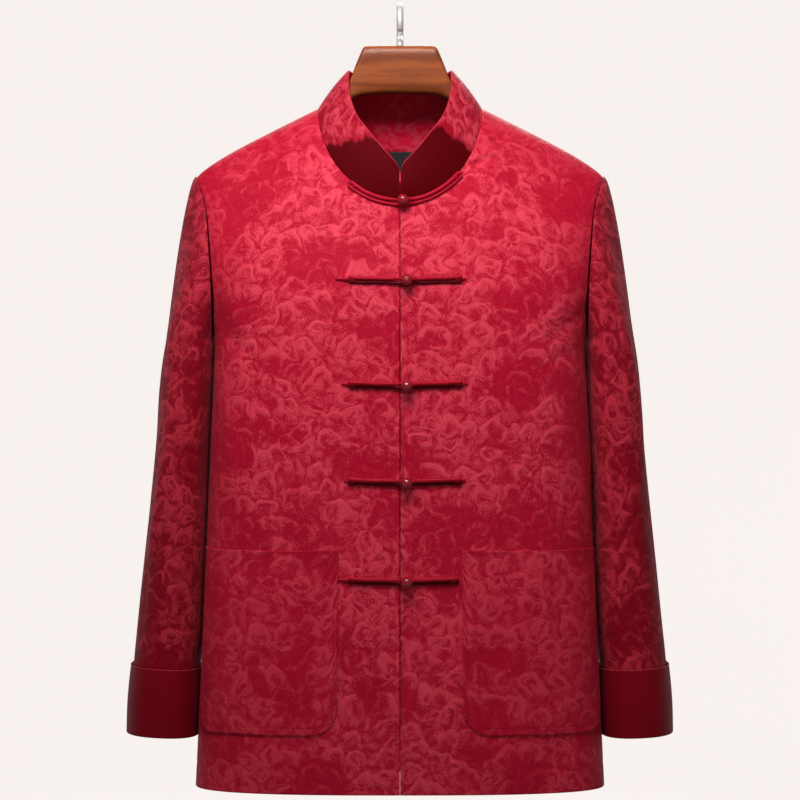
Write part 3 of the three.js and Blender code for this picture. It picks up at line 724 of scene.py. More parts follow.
def lacquered_wood():
    material, graph, shader = new_material(
        "lacquered wood", Coat_Weight=0.1, Coat_Roughness=0.18, Specular_IOR_Level=0.25)
    place = graph.object_place()
    grain = graph.group(GRAIN, Vector=place)
    tone = graph.mix(grain["Ring"], (0.155, 0.030, 0.006, 1), (0.33, 0.078, 0.016, 1))
    tone = graph.mix(graph.times(grain["Shade"], 0.5), tone, (0.26, 0.054, 0.012, 1))
    pores = graph.times(grain["Pore"], 0.55)
    graph.feed(shader.inputs["Base Color"], graph.mix(pores, tone, (0.10, 0.026, 0.008, 1)))
    graph.feed(shader.inputs["Roughness"], graph.times_plus(grain["Pore"], 0.2, 0.34))
    set_relief(graph, shader, graph.times_plus(grain["Pore"], -1.0, grain["Ring"]), 0.00008)
    return material


def bright_wire():
    material, graph, shader = new_material(
        "bright steel wire", Metallic=0.6, Base_Color=(0.80, 0.80, 0.77, 1))
    place = graph.vector("MULTIPLY", graph.object_place(), (2600.0, 2600.0, 60.0))
    drawn = graph.noise(place, 1.0, 2.0).outputs["Fac"]
    graph.feed(shader.inputs["Roughness"], graph.times_plus(drawn, 0.16, 0.34))
    set_relief(graph, shader, drawn, 0.00002)
    return material


def label_tape():
    material, graph, shader = new_material("label tape", Specular_IOR_Level=0.25)
    silk = graph.group(SILK, Vector=graph.cloth_place(), Float_Length=0.0006)
    tone = graph.mix(silk["Glint"], (0.018, 0.016, 0.018, 1), (0.07, 0.065, 0.07, 1))
    graph.feed(shader.inputs["Base Color"], tone)
    graph.feed(shader.inputs["Roughness"], graph.times_plus(silk["Glint"], -0.15, 0.75))
    set_relief(graph, shader, silk["Thread"], 0.0001)
    return material


def studio_paint():
    material, graph, shader = new_material(
        "studio paint", Roughness=0.9, Specular_IOR_Level=0.1,
        Emission_Color=(1.0, 0.945, 0.92, 1), Emission_Strength=STUDIO["backdrop_glow"])
    wash = graph.noise(graph.object_place(), 0.9, 2.0).outputs["Fac"]
    tone = graph.mix(wash, (0.86, 0.82, 0.80, 1), (0.92, 0.885, 0.86, 1))
    graph.feed(shader.inputs["Base Color"], tone)
    return material


# ------------------------------------------------------------------ camera, lights and backdrop

STUDIO = {
    "view_width": 0.880, "camera_distance": 3.0, "camera_height": (NECK_Z - 321.2) * MM,
    "floor": -1.45, "radius": 6.0, "wall": 3.4, "backdrop_glow": 0.74, "air": 0.215,
}


def add_camera():
    data = bpy.data.cameras.new("camera")
    data.sensor_width = 36.0
    data.lens = data.sensor_width * STUDIO["camera_distance"] / STUDIO["view_width"]
    camera = put("camera", data)
    camera.location = (0, -STUDIO["camera_distance"], STUDIO["camera_height"])
    camera.rotation_euler = (math.radians(90), 0, 0)
    bpy.context.scene.camera = camera


def add_area(name, place, target, size, power, beam, colour):
    data = bpy.data.lights.new(name, "AREA")
    data.shape = "RECTANGLE"
    data.size, data.size_y = size
    data.energy = power
    data.spread = math.radians(beam)
    data.color = colour
    light = put(name, data)
    light.location = place
    light.rotation_euler = (Vector(target) - Vector(place)).to_track_quat("-Z", "Y").to_euler()


def add_studio():
    """Big soft box close above the front, a weak fill, one soft box behind, and pale air."""
    chest = (0, 0, (NECK_Z - 120) * MM)
    add_area("key", (-0.15, -0.80, 0.55), chest, (0.8, 0.40), 4.2, 84, (1.0, 0.97, 0.95))
    add_area("front fill", (0.3, -3.4, 0.2), (0, 0, -0.45), (2.4, 2.0), 4.0, 180, (1.0, 0.96, 0.95))
    add_area("back light", (0.1, 1.1, 0.75), chest, (1.2, 0.6), 13.0, 180, (1.0, 0.98, 0.97))
    world = bpy.data.worlds.new("studio air")
    world.use_nodes = True
    air = world.node_tree.nodes["Background"].inputs
    air["Color"].default_value = (1.0, 0.97, 0.955, 1)
    air["Strength"].default_value = STUDIO["air"]
    bpy.context.scene.world = world
    bpy.context.scene.view_settings.view_transform = "Standard"


def add_backdrop():
    """Round studio cove: pale floor that sweeps up into a pale wall all round."""
    floor, radius, bend = STUDIO["floor"], STUDIO["radius"], 1.2
    profile = [(0.0, floor), (2.0, floor), (radius - bend, floor)]
    for k in range(1, 11):
        turn = k / 10 * math.pi / 2
        profile.append((radius - bend + bend * math.sin(turn), floor + bend * (1 - math.cos(turn))))
    profile.append((radius, STUDIO["wall"]))
    around = 96
    points = []
    for reach, height in profile:
        for k in range(around):
            turn = 2 * math.pi * k / around
            points.append((reach * math.cos(turn), reach * math.sin(turn), height))
    mesh = bpy.data.meshes.new("backdrop")
    mesh.from_pydata(points, [], ring_faces(len(profile), around))
    work = bmesh.new()
    work.from_mesh(mesh)
    bmesh.ops.remove_doubles(work, verts=work.verts, dist=1e-5)
    work.to_mesh(mesh)
    work.free()
    mesh.shade_smooth()
    mesh.materials.append(studio_paint())
    backdrop = put("backdrop", mesh)
    backdrop.visible_diffuse = False
    backdrop.visible_glossy = False


add_camera()
add_studio()
add_backdrop()

# ------------------------------------------------------------------ body panels

FINE, PLAIN = (110, 132, 104), (78, 104, 64)  # columns, rows below the armhole, rows above it


def necklines(face, share):
    """Angle and drop along the neckline, from the centre (0) to the neck point (1)."""
    drop = face["neck_drop"] * np.cos(share * math.pi / 2)
    return angle_of(NECK_X * np.sin(share * math.pi / 2), drop), drop


def panel_layout(face):
    """Angles and drops of half of the front or back, row by row from hem to shoulder."""
    columns, skirt_rows, yoke_rows = FINE if face is FRONT else PLAIN
    across = np.linspace(0, 1, columns)
    last = len(PANEL_SHARES) - 1
    shares = np.interp(across * last, range(last + 1), PANEL_SHARES)
    skirt_drop = np.linspace(HEM_DROP, UNDERARM_DROP, skirt_rows)[:, None]
    skirt_angle = angle_at(shares)[None, :] + 0 * skirt_drop
    neck_angle, neck_drop = necklines(face, np.clip(across * 2, 0, 1))
    shoulder_x = NECK_X + (SHOULDER_X - NECK_X) * np.clip(across * 2 - 1, 0, 1)
    on_neck = across <= 0.5
    top_drop = np.where(on_neck, neck_drop, shoulder_drop(shoulder_x))
    top_angle = np.where(on_neck, neck_angle, angle_of(shoulder_x, shoulder_drop(shoulder_x)))
    rise = (np.linspace(0, 1, yoke_rows)[1:, None]) ** 1.5
    arm_drop = UNDERARM_DROP + (shoulder_drop(SHOULDER_X) - UNDERARM_DROP) * rise
    arm_angle = angle_of(reading(ARMHOLE, "reach", arm_drop), arm_drop)
    straight = math.pi / 2 + (top_angle[-1] - math.pi / 2) * rise
    near_arm = np.clip(across * 2 - 1, 0, 1)[None, :]
    yoke_angle = skirt_angle[-1] + (top_angle - skirt_angle[-1]) * rise + near_arm * (arm_angle - straight)
    yoke_drop = UNDERARM_DROP + (top_drop - UNDERARM_DROP) * rise
    drop = np.concatenate([skirt_drop + 0 * skirt_angle, yoke_drop])
    return np.concatenate([skirt_angle, yoke_angle]), drop


ARC_ANGLES = np.linspace(0, math.pi / 2, 400)
ARC_LENGTHS = row_lengths(
    np.stack(squared_circle(ARC_ANGLES, BODY_SQUARENESS), axis=-1) * (1.0, 0.45), 0)


def arc_length(angle):
    """Length round the body from its centre line, on a body of half width 1."""
    return np.interp(angle, ARC_ANGLES, ARC_LENGTHS)


def panel_uv(side, angle, drop, grid):
    """Flat place of the cloth: across from the centre line, and up along the cloth."""
    across = arc_length(angle) * reading(BODY, "half_width", drop)
    return np.stack([side * across, row_lengths(grid, 0)], axis=-1)


def seam_pull(grid, normals, face):
    """Cloth drawn in a little along the centre edge, hem, side, armhole and shoulder seams."""
    columns, rows = row_lengths(grid, 1), row_lengths(grid, 0)
    from_centre = columns if face is FRONT else columns * 0 + 1e3
    from_side = columns[:, -1:] - columns
    from_top = rows[-1:] - rows
    pull = 0.9 * np.exp(-((from_centre / 3.0) ** 2)) + 0.9 * np.exp(-((from_side / 4.0) ** 2))
    pull += 0.6 * np.exp(-((from_top / 4.0) ** 2)) + 0.35 * np.exp(-(((rows - 26) / 2.2) ** 2))
    return grid - normals * pull[..., None]


def half_panel(face, side):
    angle, drop = panel_layout(face)
    grid, normals = body_place(face, side, angle, drop)
    grid = seam_pull(grid, normals, face)
    return grid, panel_uv(side, angle, drop, grid)


def light_falloff_plain(x, y, drop):
    """Painted light: the clouds' lighter motif is faded out by the side seams, the armholes, over the
    shoulders and low on the cloth, where the light grazes it or falls off.
    """
    beside = np.clip((np.abs(x) - 160) / 34, 0, 1)
    above = np.clip((60 - (drop - shoulder_drop(np.abs(x)))) / 40, 0, 1)
    below = 0.7 * np.clip((drop - 400) / 160, 0, 1) * np.clip((np.abs(x) - 50) / 40, 0.2, 1)
    return 0.5 * np.maximum(np.maximum(beside, above), below)


def front_panel(side, material):
    """Front panel. The two edges meet near the hem and stand a hair apart above it."""
    name = f"front_{SIDES[side]}"
    grid, uv = half_panel(FRONT, side)
    drop = NECK_Z - grid[:, 0, 2]
    grid[:, 0, 0] = side * np.clip((HEM_DROP - 36 - drop) / 40 * 0.25, -0.1, 0.25)
    rolls = (EDGE_ROLL, SEAM_ROLL, EDGE_ROLL, SEAM_ROLL)
    piece = wall(f"{name}_cloth", grid, uv, side, rolls=rolls)
    set_painted_light_plain(piece, light_falloff_plain)
    dress(piece, material, [name])


def back_panel(material):
    left, left_uv = half_panel(BACK, 1)
    right, right_uv = half_panel(BACK, -1)
    grid = np.concatenate([right[:, :0:-1], left], axis=1)
    uv = np.concatenate([right_uv[:, :0:-1], left_uv], axis=1)
    piece = wall("back_cloth", grid, uv, -1, rolls=(SEAM_ROLL, SEAM_ROLL, EDGE_ROLL, SEAM_ROLL))
    dress(piece, material, ["back"])


# ------------------------------------------------------------------ sleeves and cuffs

SLEEVE_COLUMNS, HEAD_ROWS, TUBE_ROWS = 97, 44, 112


def sleeve_rings(drops):
    """Rings of the hanging sleeve on the wearer's left, from its inner side round the front."""
    turn = np.linspace(0, 2 * math.pi, SLEEVE_COLUMNS)[None, :]
    drops = np.asarray(drops, float)[:, None]
    inner, outer = reading(SLEEVE, "inner", drops), reading(SLEEVE, "outer", drops)
    front, inward = squared_circle(turn, SLEEVE_SQUARENESS)
    centre = (inner + outer) / 2
    x = centre - (outer - inner) / 2 * inward
    y = reading(SLEEVE, "middle", drops) - reading(SLEEVE, "half_depth", drops) * front
    return np.stack([x, y, NECK_Z - drops + SLEEVE_TILT * (x - centre)], axis=-1)


def armhole_ring():
    """The armhole on the wearer's left, in the order of a sleeve ring."""
    half = SLEEVE_COLUMNS // 2 + 1
    rise = np.linspace(0, 1, half) ** 1.5
    drop = UNDERARM_DROP + (shoulder_drop(SHOULDER_X) - UNDERARM_DROP) * rise
    angle = angle_of(reading(ARMHOLE, "reach", drop), drop)
    front, back = (smooth_body(face, 1, angle, drop) for face in (FRONT, BACK))
    ring = np.concatenate([front, back[-2::-1]])
    ring[[0, half - 1, -1], 1] = 0
    return ring


def lean_on_body(grid, turn):
    """Moves the inner side of the hanging sleeve over to the body, down to the cuff."""
    drop = NECK_Z - grid[..., 2]
    gap = grid[:, :1, 0] - reading(BODY, "half_width", drop[:, :1]) - 0.9
    share = np.clip((drop - UNDERARM_DROP) / 6, 0, 1) * (1 - 0.55 * np.clip((drop - 570) / 50, 0, 1))
    inner = np.clip((np.cos(turn) - 0.1) / 0.6, 0, 1)
    moved = grid.copy()
    moved[..., 0] -= np.maximum(gap, 0) * share * inner * inner * (3 - 2 * inner)
    return moved


def sleeve_grid(side):
    turn = np.linspace(0, 2 * math.pi, SLEEVE_COLUMNS)
    outer_share = (1 - np.cos(turn)) / 2
    t = np.linspace(0, 1, HEAD_ROWS)[:-1, None, None]
    start = armhole_ring() + SEAM * np.array([0.93, 0, -0.37])
    end = sleeve_rings([SLEEVE[0]["drop"]])[0]
    leave = np.stack([6 + 34 * outer_share, -30 * np.sin(turn), -20 - 25 * outer_share], axis=-1)
    arrive = np.stack([3 + 17 * outer_share, 0 * turn, -40 - 160 * outer_share], axis=-1)
    head = eased_line(t, start, leave, end, arrive)
    hanging = sleeve_rings(np.linspace(SLEEVE[0]["drop"], SLEEVE[-1]["drop"], TUBE_ROWS))
    grid = lean_on_body(np.concatenate([head, hanging]), turn)
    normals = grid_normals(grid, -1, True)
    drop = NECK_Z - grid[..., 2]
    from_seam = row_lengths(grid, 0)
    relief = crease_relief(SLEEVE_CREASES, side, np.degrees(turn)[None, :], drop)
    ease = np.clip(from_seam / 30, 0, 1) * np.clip((CUFF["top"] + 20 - drop) / 60, 0.15, 1)
    keep_clear = np.clip(outer_share * 3, 0, 1)
    gather = 0.8 * np.exp(-from_seam / 16) * np.cos(turn * 34) * np.clip(outer_share * 2 - 0.6, 0, 1)
    seam = 0.7 * np.exp(-((from_seam / 4) ** 2))
    grid = grid + normals * (relief * ease * keep_clear + gather - seam)[..., None]
    return grid * (side, 1, 1)


def sleeve_uv(grid, side):
    """Flat place of the sleeve's cloth: round the arm by length, and along it by height."""
    around = row_lengths(grid, 1)[-1][None, :] * side
    return np.stack([around + 0 * grid[..., 2], grid[..., 2] + 900], axis=-1)


def add_sleeve(side, material):
    name = f"sleeve_{SIDES[side]}"
    grid = sleeve_grid(side)
    piece = wall(f"{name}_cloth", grid, sleeve_uv(grid, side), -side, closed=True,
                 rolls=(0, 0, SEAM_ROLL, EDGE_ROLL))
    dress(piece, material, [name])
    return grid


def add_cuff(side, sleeve, material, edge_material):
    """Satin band turned up over the sleeve's end, with a fine lighter fold along its top."""
    name = f"cuff_{SIDES[side]}"
    drop = NECK_Z - sleeve[..., 2].mean(axis=1)
    band = sleeve[drop > CUFF["top"] - 1].copy()
    normals = grid_normals(band, -side, True)
    rows = row_lengths(band, 0)
    down = rows / rows[-1].mean()
    band[..., 2] -= CUFF["past"] * down
    belly = 0.9 * np.sin(np.clip(down, 0, 1) * math.pi)
    turn = np.linspace(0, 2 * math.pi, SLEEVE_COLUMNS)[None, :]
    ripple = 0.5 * np.sin(turn * 3 + 1.3 + side) * down + 0.35 * np.sin(turn * 5 + 0.4)
    outer = band + normals * (CUFF["lift"] + CUFF["wall"] * 0.55 + belly + ripple * 0.6)[..., None]
    uv = sleeve_uv(outer, side)
    piece = wall(f"{name}_cloth", outer, uv, -side, CUFF["wall"], True, (0, 0, EDGE_ROLL, EDGE_ROLL))
    dress(piece, material, [name])
    top = outer[0] + grid_normals(outer, -side, True)[0] * -0.2 + np.array([0, 0, 0.1])
    tube(f"{name}_fold", top[:-1], 0.55, edge_material, closed=True)


# ------------------------------------------------------------------ tubes, for cords and edgings

def round_end(base, centre, reach):
    """Rings that close the end of a cord in a dome, from the last ring outward."""
    caps = []
    for sine in (0.5, 0.87, 1.0):
        shrink = math.sqrt(1 - sine * sine) + 1e-4
        caps.append(centre + (base - centre) * shrink + reach * sine)
    return caps


def tube(name, path, radius, material, closed=False, sides=10, nodes=()):
    """Round cord along a path in mm. radius may be one number or one for each point."""
    path = np.asarray(path, float)
    count = len(path)
    radii = np.broadcast_to(np.asarray(radius, float), (count,))
    if closed:
        ahead, behind = np.roll(path, -1, axis=0), np.roll(path, 1, axis=0)
    else:
        ahead = np.concatenate([path[1:], path[-1:]])
        behind = np.concatenate([path[:1], path[:-1]])
    tangents = unit(ahead - behind)
    guide = np.array([0.0, 0.0, 1.0]) if abs(tangents[0][2]) < 0.8 else np.array([0.0, 1.0, 0.0])
    rings, lengths = [], row_lengths(path, 0)
    angles = np.linspace(0, 2 * math.pi, sides, endpoint=False)
    for k in range(count):
        guide = unit(guide - tangents[k] * guide.dot(tangents[k]))
        other = np.cross(tangents[k], guide)
        spoke = np.cos(angles)[:, None] * guide + np.sin(angles)[:, None] * other
        rings.append(path[k] + radii[k] * spoke)
    if not closed:
        rings = round_end(rings[0], path[0], -tangents[0] * radii[0])[::-1] + rings
        rings += round_end(rings[-1], path[-1], tangents[-1] * radii[-1])
        lengths = np.concatenate([[0, 0, 0], lengths, [lengths[-1]] * 3])
    points = np.concatenate(rings) * MM
    total = len(rings)
    faces = ring_faces(total, sides, closed)
    if not closed:
        faces.append(tuple(range(sides))[::-1])
        faces.append(tuple(range((total - 1) * sides, total * sides)))
    along = np.repeat(lengths, sides)
    around = np.tile(angles * float(radii.mean()), total)
    piece = piece_from(name, points, faces, np.stack([along, around], axis=-1) * MM)
    return dress(piece, material, nodes)


def joined(name, pieces, shades):
    """One piece from several meshes of the same material, each with its own "shade"."""
    target = pieces[0]
    values = np.concatenate([np.full(len(p.data.vertices), shade) for p, shade in zip(pieces, shades)])
    work = bmesh.new()
    for piece in pieces:
        work.from_mesh(piece.data)
    mesh = bpy.data.meshes.new(name)
    work.to_mesh(mesh)
    work.free()
    mark_points(mesh, "shade", values)
    mesh.shade_smooth()
    mesh.materials.append(target.data.materials[0])
    for piece in pieces[1:]:
        bpy.data.objects.remove(piece)
    target.data = mesh
    target.name = name
    return target


# ------------------------------------------------------------------ collar

COLLAR_COLUMNS, COLLAR_ROWS = 92, 18


def collar_half():
    """Lower and upper edge of the collar on the wearer's left, from centre front to centre back."""
    base, top = [], []
    from_front = np.linspace(0, 1, COLLAR_COLUMNS)
    for face, shares in ((FRONT, from_front), (BACK, from_front[::-1][1:])):
        angle, drop = necklines(face, shares)
        line = smooth_body(face, 1, angle, drop)
        line[shares == 1, 1] = 0
        centre_depth = abs(smooth_body(face, 1, 0.0, face["neck_drop"])[1])
        if face is FRONT:
            x, drop_here = (reading(COLLAR_EDGE, column, shares, "share") for column in ("x", "drop"))
            lean = COLLAR["front_lean"]
        else:
            turn = shares * math.pi / 2
            x = COLLAR_EDGE[-1]["x"] * np.sin(turn)
            drop_here = COLLAR_EDGE[-1]["drop"] * np.sin(turn) ** 2
            drop_here -= COLLAR["back_top_rise"] * np.cos(turn) ** 2
            lean = COLLAR["back_lean"]
        upper = np.stack([x, line[:, 1] * (1 - lean / centre_depth), NECK_Z - drop_here], axis=-1)
        base.append(line)
        top.append(upper)
    return np.concatenate(base), np.concatenate(top)


def painted_shade_collar_front(x, y, drop):
    """Painted shade: the front of the collar below a wavering edge is painted in dark shaded satin in
    place of the pattern.
    """
    edge = np.where(x > 0, 17 + 0.7 * np.maximum(x - 43, 0), 29 - 0.15 * (x + 31))
    waver = 2.2 * np.sin(x * 0.31) + 1.2 * np.sin(x * 0.83 + 1)
    return np.clip((-y - 20) / 12, 0, 1) * np.clip((drop - edge + waver) / 12, 0, 1)


def add_collar(material, edge_material):
    """Stand collar with rounded front ends, and a fine piping along its edge."""
    base, top = collar_half()
    base = base - np.array([0, 0, COLLAR["tucked_in"]])
    rise = np.linspace(0, 1, COLLAR_ROWS)[:, None, None]
    corner = COLLAR["front_corner"]
    inset = np.clip(corner - row_lengths(top, 0), 0, corner)
    cut = corner - np.sqrt(corner**2 - inset**2)
    height = np.linalg.norm(top - base, axis=1)
    top = top + (base - top) * (cut / height)[:, None]
    half = base + (top - base) * rise
    bulge = COLLAR["bulge"] * np.sin(rise[..., 0] * math.pi)
    half = half + grid_normals(half, 1, False) * bulge[..., None]
    half[..., 0] = np.maximum(half[..., 0], SEAM)
    other = half[:, ::-1] * (-1, 1, 1)
    grid = np.concatenate([half, other[:, 1:]], axis=1)
    along = row_lengths(grid, 1)[COLLAR_ROWS // 2][None, :] + 0 * rise[..., 0]
    uv = np.stack([along, row_lengths(grid, 0) + 300], axis=-1)
    piece = wall("collar_cloth", grid, uv, 1, rolls=(EDGE_ROLL, EDGE_ROLL, SEAM_ROLL, EDGE_ROLL))
    set_painted_light_plain(piece, painted_shade_collar_front)
    mark_painted_glow(piece)
    dress(piece, material, ["collar"])
    normals = grid_normals(grid, 1, False)
    edge = grid[-1] - normals[-1] * CLOTH / 2 + unit(grid[-1] - grid[-2]) * 0.1
    high = grid[::-1][:7]
    left_end = high[:, 0] - unit(high[:, 0] - high[:, 1]) * 0.5
    right_end = high[:, -1] - unit(high[:, -1] - high[:, -2]) * 0.5
    route = np.concatenate([left_end[::-1], edge[1:-1], right_end])
    tube("collar_piping", route, COLLAR["piping"], edge_material)


# ------------------------------------------------------------------ pockets

def add_pocket(side, material):
    """Patch pocket laid on the front panel, with rounded lower corners and a turned top edge."""
    name = f"pocket_{SIDES[side]}"
    columns, rows = 64, 72
    mean_width = reading(BODY, "half_width", 580.0)
    first, last = angle_at(POCKET["inner"] / mean_width), angle_at(POCKET["outer"])
    spacing = (1 - np.cos(np.linspace(0, math.pi, columns))) / 2
    spacing = 0.5 * spacing + 0.5 * np.linspace(0, 1, columns)
    angle = (first + (last - first) * spacing)[None, :]
    width = float(arc_length(last) - arc_length(first)) * mean_width
    along = (arc_length(angle[0]) - arc_length(first)) * mean_width
    corner = POCKET["corner"]
    inset = np.clip(corner - np.minimum(along, width - along), 0, corner - 0.4)
    bottom = POCKET["bottom"] - corner + np.sqrt(corner**2 - inset**2)
    share = np.linspace(0, 1, rows)[:, None]
    top = POCKET["top"] + 1.2 * np.sin(along / width * math.pi)
    drop = bottom + (top - bottom) * share
    angle = angle + 0 * drop
    point, normal = body_place(FRONT, side, angle, drop)
    fullness = np.sin(share * math.pi) * np.sin(along / width * math.pi)
    mouth = 0.8 * np.exp(-((1 - share) / 0.02)) - 0.35 * np.exp(-(((1 - share) - 0.09) / 0.012) ** 2)
    lift = 2.3 + 1.6 * fullness + mouth
    grid = point + normal * lift[..., None]
    uv = panel_uv(side, angle, drop, grid) + np.array([410.0 * side, 130.0])
    rolls = (SEAM_ROLL + 0.3,) * 3 + (EDGE_ROLL,)
    piece = wall(f"{name}_cloth", grid, uv, side, POCKET["wall"], rolls=rolls)
    set_painted_light_plain(piece, light_falloff_plain)
    dress(piece, material, [name])
    return np.concatenate([grid[-3::-1, 2], grid[3, 2:-2], grid[4:-2, -3]])


# ------------------------------------------------------------------ stitches

def stitch_tree():
    """Geometry nodes: small sewn stitches, end to end along a line, sunk into the cloth."""
    tree = bpy.data.node_groups.new("sewn stitches", "GeometryNodeTree")
    tree.interface.new_socket("Geometry", in_out="INPUT", socket_type="NodeSocketGeometry")
    for label, value in (("Spacing", 0.0032), ("Stitch Length", 0.0022), ("Thread", 0.0003)):
        socket = tree.interface.new_socket(label, in_out="INPUT", socket_type="NodeSocketFloat")
        socket.default_value = value
    tree.interface.new_socket("Material", in_out="INPUT", socket_type="NodeSocketMaterial")
    tree.interface.new_socket("Geometry", in_out="OUTPUT", socket_type="NodeSocketGeometry")
    graph = Graph(tree)
    given = tree.nodes.new("NodeGroupInput").outputs
    line = graph.add("GeometryNodeMeshToCurve", None, Mesh=given["Geometry"]).outputs[0]
    spots = graph.add("GeometryNodeCurveToPoints", {"mode": "LENGTH"}, Curve=line, Length=given["Spacing"])
    thread = graph.add("GeometryNodeMeshUVSphere", None, Segments=8, Rings=6, Radius=1.0).outputs["Mesh"]
    half = graph.times(given["Stitch Length"], 0.5)
    size = graph.add("ShaderNodeCombineXYZ", None, X=given["Thread"], Y=given["Thread"], Z=half).outputs[0]
    shaped = graph.add("GeometryNodeTransform", None, Geometry=thread, Scale=size).outputs[0]
    placed = graph.add("GeometryNodeInstanceOnPoints", None, Points=spots.outputs["Points"],
                       Instance=shaped, Rotation=spots.outputs["Rotation"]).outputs[0]
    real = graph.add("GeometryNodeRealizeInstances", None, Geometry=placed).outputs[0]
    painted = graph.add("GeometryNodeSetMaterial", None, Geometry=real, Material=given["Material"])
    tree.links.new(painted.outputs[0], tree.nodes.new("NodeGroupOutput").inputs[0])
    return tree


STITCHES = stitch_tree()


def sew(name, lines, material, spacing=3.2, length=2.2, thread=0.3):
    """Row of stitches along lines of points in mm, made into one plain mesh."""
    mesh = bpy.data.meshes.new(name + "_line")
    points, edges = [], []
    for line in lines:
        start = len(points)
        points += (np.asarray(line) * MM).tolist()
        edges += [(k, k + 1) for k in range(start, len(points) - 1)]
    mesh.from_pydata(points, edges, [])
    carrier = put(name + "_line", mesh)
    modifier = carrier.modifiers.new("stitches", "NODES")
    modifier.node_group = STITCHES
    values = {"Spacing": spacing * MM, "Stitch Length": length * MM, "Thread": thread * MM,
              "Material": material}
    for item in STITCHES.interface.items_tree:
        if item.in_out == "INPUT" and item.name in values:
            modifier[item.identifier] = values[item.name]
    evaluated = carrier.evaluated_get(bpy.context.evaluated_depsgraph_get())
    plain = bpy.data.meshes.new_from_object(evaluated)
    plain.name = name
    bpy.data.objects.remove(carrier)
    plain.shade_smooth()
    layer = plain.uv_layers.new(name="cloth") if not plain.uv_layers else plain.uv_layers[0]
    layer.name = "cloth"
    dress(put(name, plain), material)


# ------------------------------------------------------------------ frog fastenings

def bead_place(row):
    """Distance from the centre front and drop of a fastening's bead."""
    if PANKOU_DROPS[row] is None:
        return PANKOU["top_bead_x"], FRONT["neck_drop"] + PANKOU["under_neckline"]
    return PANKOU["bead_x"], PANKOU_DROPS[row]


def strap_drop(row, x):
    """Drop at the middle of a fastening's cords, at a distance from the centre front."""
    if PANKOU_DROPS[row] is not None:
        return PANKOU_DROPS[row] - PANKOU["rise"] * np.abs(x)
    across = np.clip(np.abs(x) / NECK_X, 0, 1)
    return FRONT["neck_drop"] * np.sqrt(1 - across**2) + PANKOU["under_neckline"]


def front_place(x, drop):
    """Point and outward direction on the front, at a signed distance from the centre."""
    x, drop = np.broadcast_arrays(np.asarray(x, float), np.asarray(drop, float))
    angle = angle_of(x, drop)
    left, left_out = body_place(FRONT, 1, angle, drop)
    right, right_out = body_place(FRONT, -1, angle, drop)
    choose = (x >= 0)[..., None]
    point, outward = np.where(choose, left, right), np.where(choose, left_out, right_out)
    point[..., 0] = x
    return point, outward


def laid_on_front(x, drop, lift):
    point, outward = front_place(x, drop)
    return point + outward * np.asarray(lift)[..., None]


def across_line(row, x):
    """Direction that crosses a fastening in the cloth, downward, as a change of x and drop."""
    slope = strap_drop(row, x + 0.5) - strap_drop(row, x - 0.5)
    size = np.sqrt(1 + slope**2)
    return -slope / size, 1 / size


def sewn_cord(name, row, x, fan, lift, edge, radius, material, end=None):
    """One cord of a fastening: beside its middle line by fan, above the cloth by lift."""
    dx, dd = across_line(row, x)
    sway = 0.12 * np.sin(x * 0.2 + row * 1.9 + edge)
    path = laid_on_front(x + edge * fan * dx, strap_drop(row, x) + edge * (fan + sway) * dd, lift)
    if end is not None:
        path = np.concatenate([path, end])
    return tube(name, path, radius, material, sides=14)


def sewn_tail(name, row, tip, root, material):
    """The end of a strap's cords, sewn down and narrowing to its tip."""
    x = np.linspace(tip, root, 10)
    swell = np.linspace(0.9, 2.4, 10)
    return sewn_cord(name, row, x, 0.5, swell, -1, swell, material)


def strap(kind, row, cords, material):
    """Joins the cords of one side. Under the neckline both show, elsewhere the lower is in shade, painted
    dark to stand for the upper cord's shadow.
    """
    name = f"pankou_{kind}_{row + 1}"
    shades = (0, 0 if PANKOU_DROPS[row] is None else 1, 0)
    dress(joined(f"{name}_cord", cords, shades), material, [name])


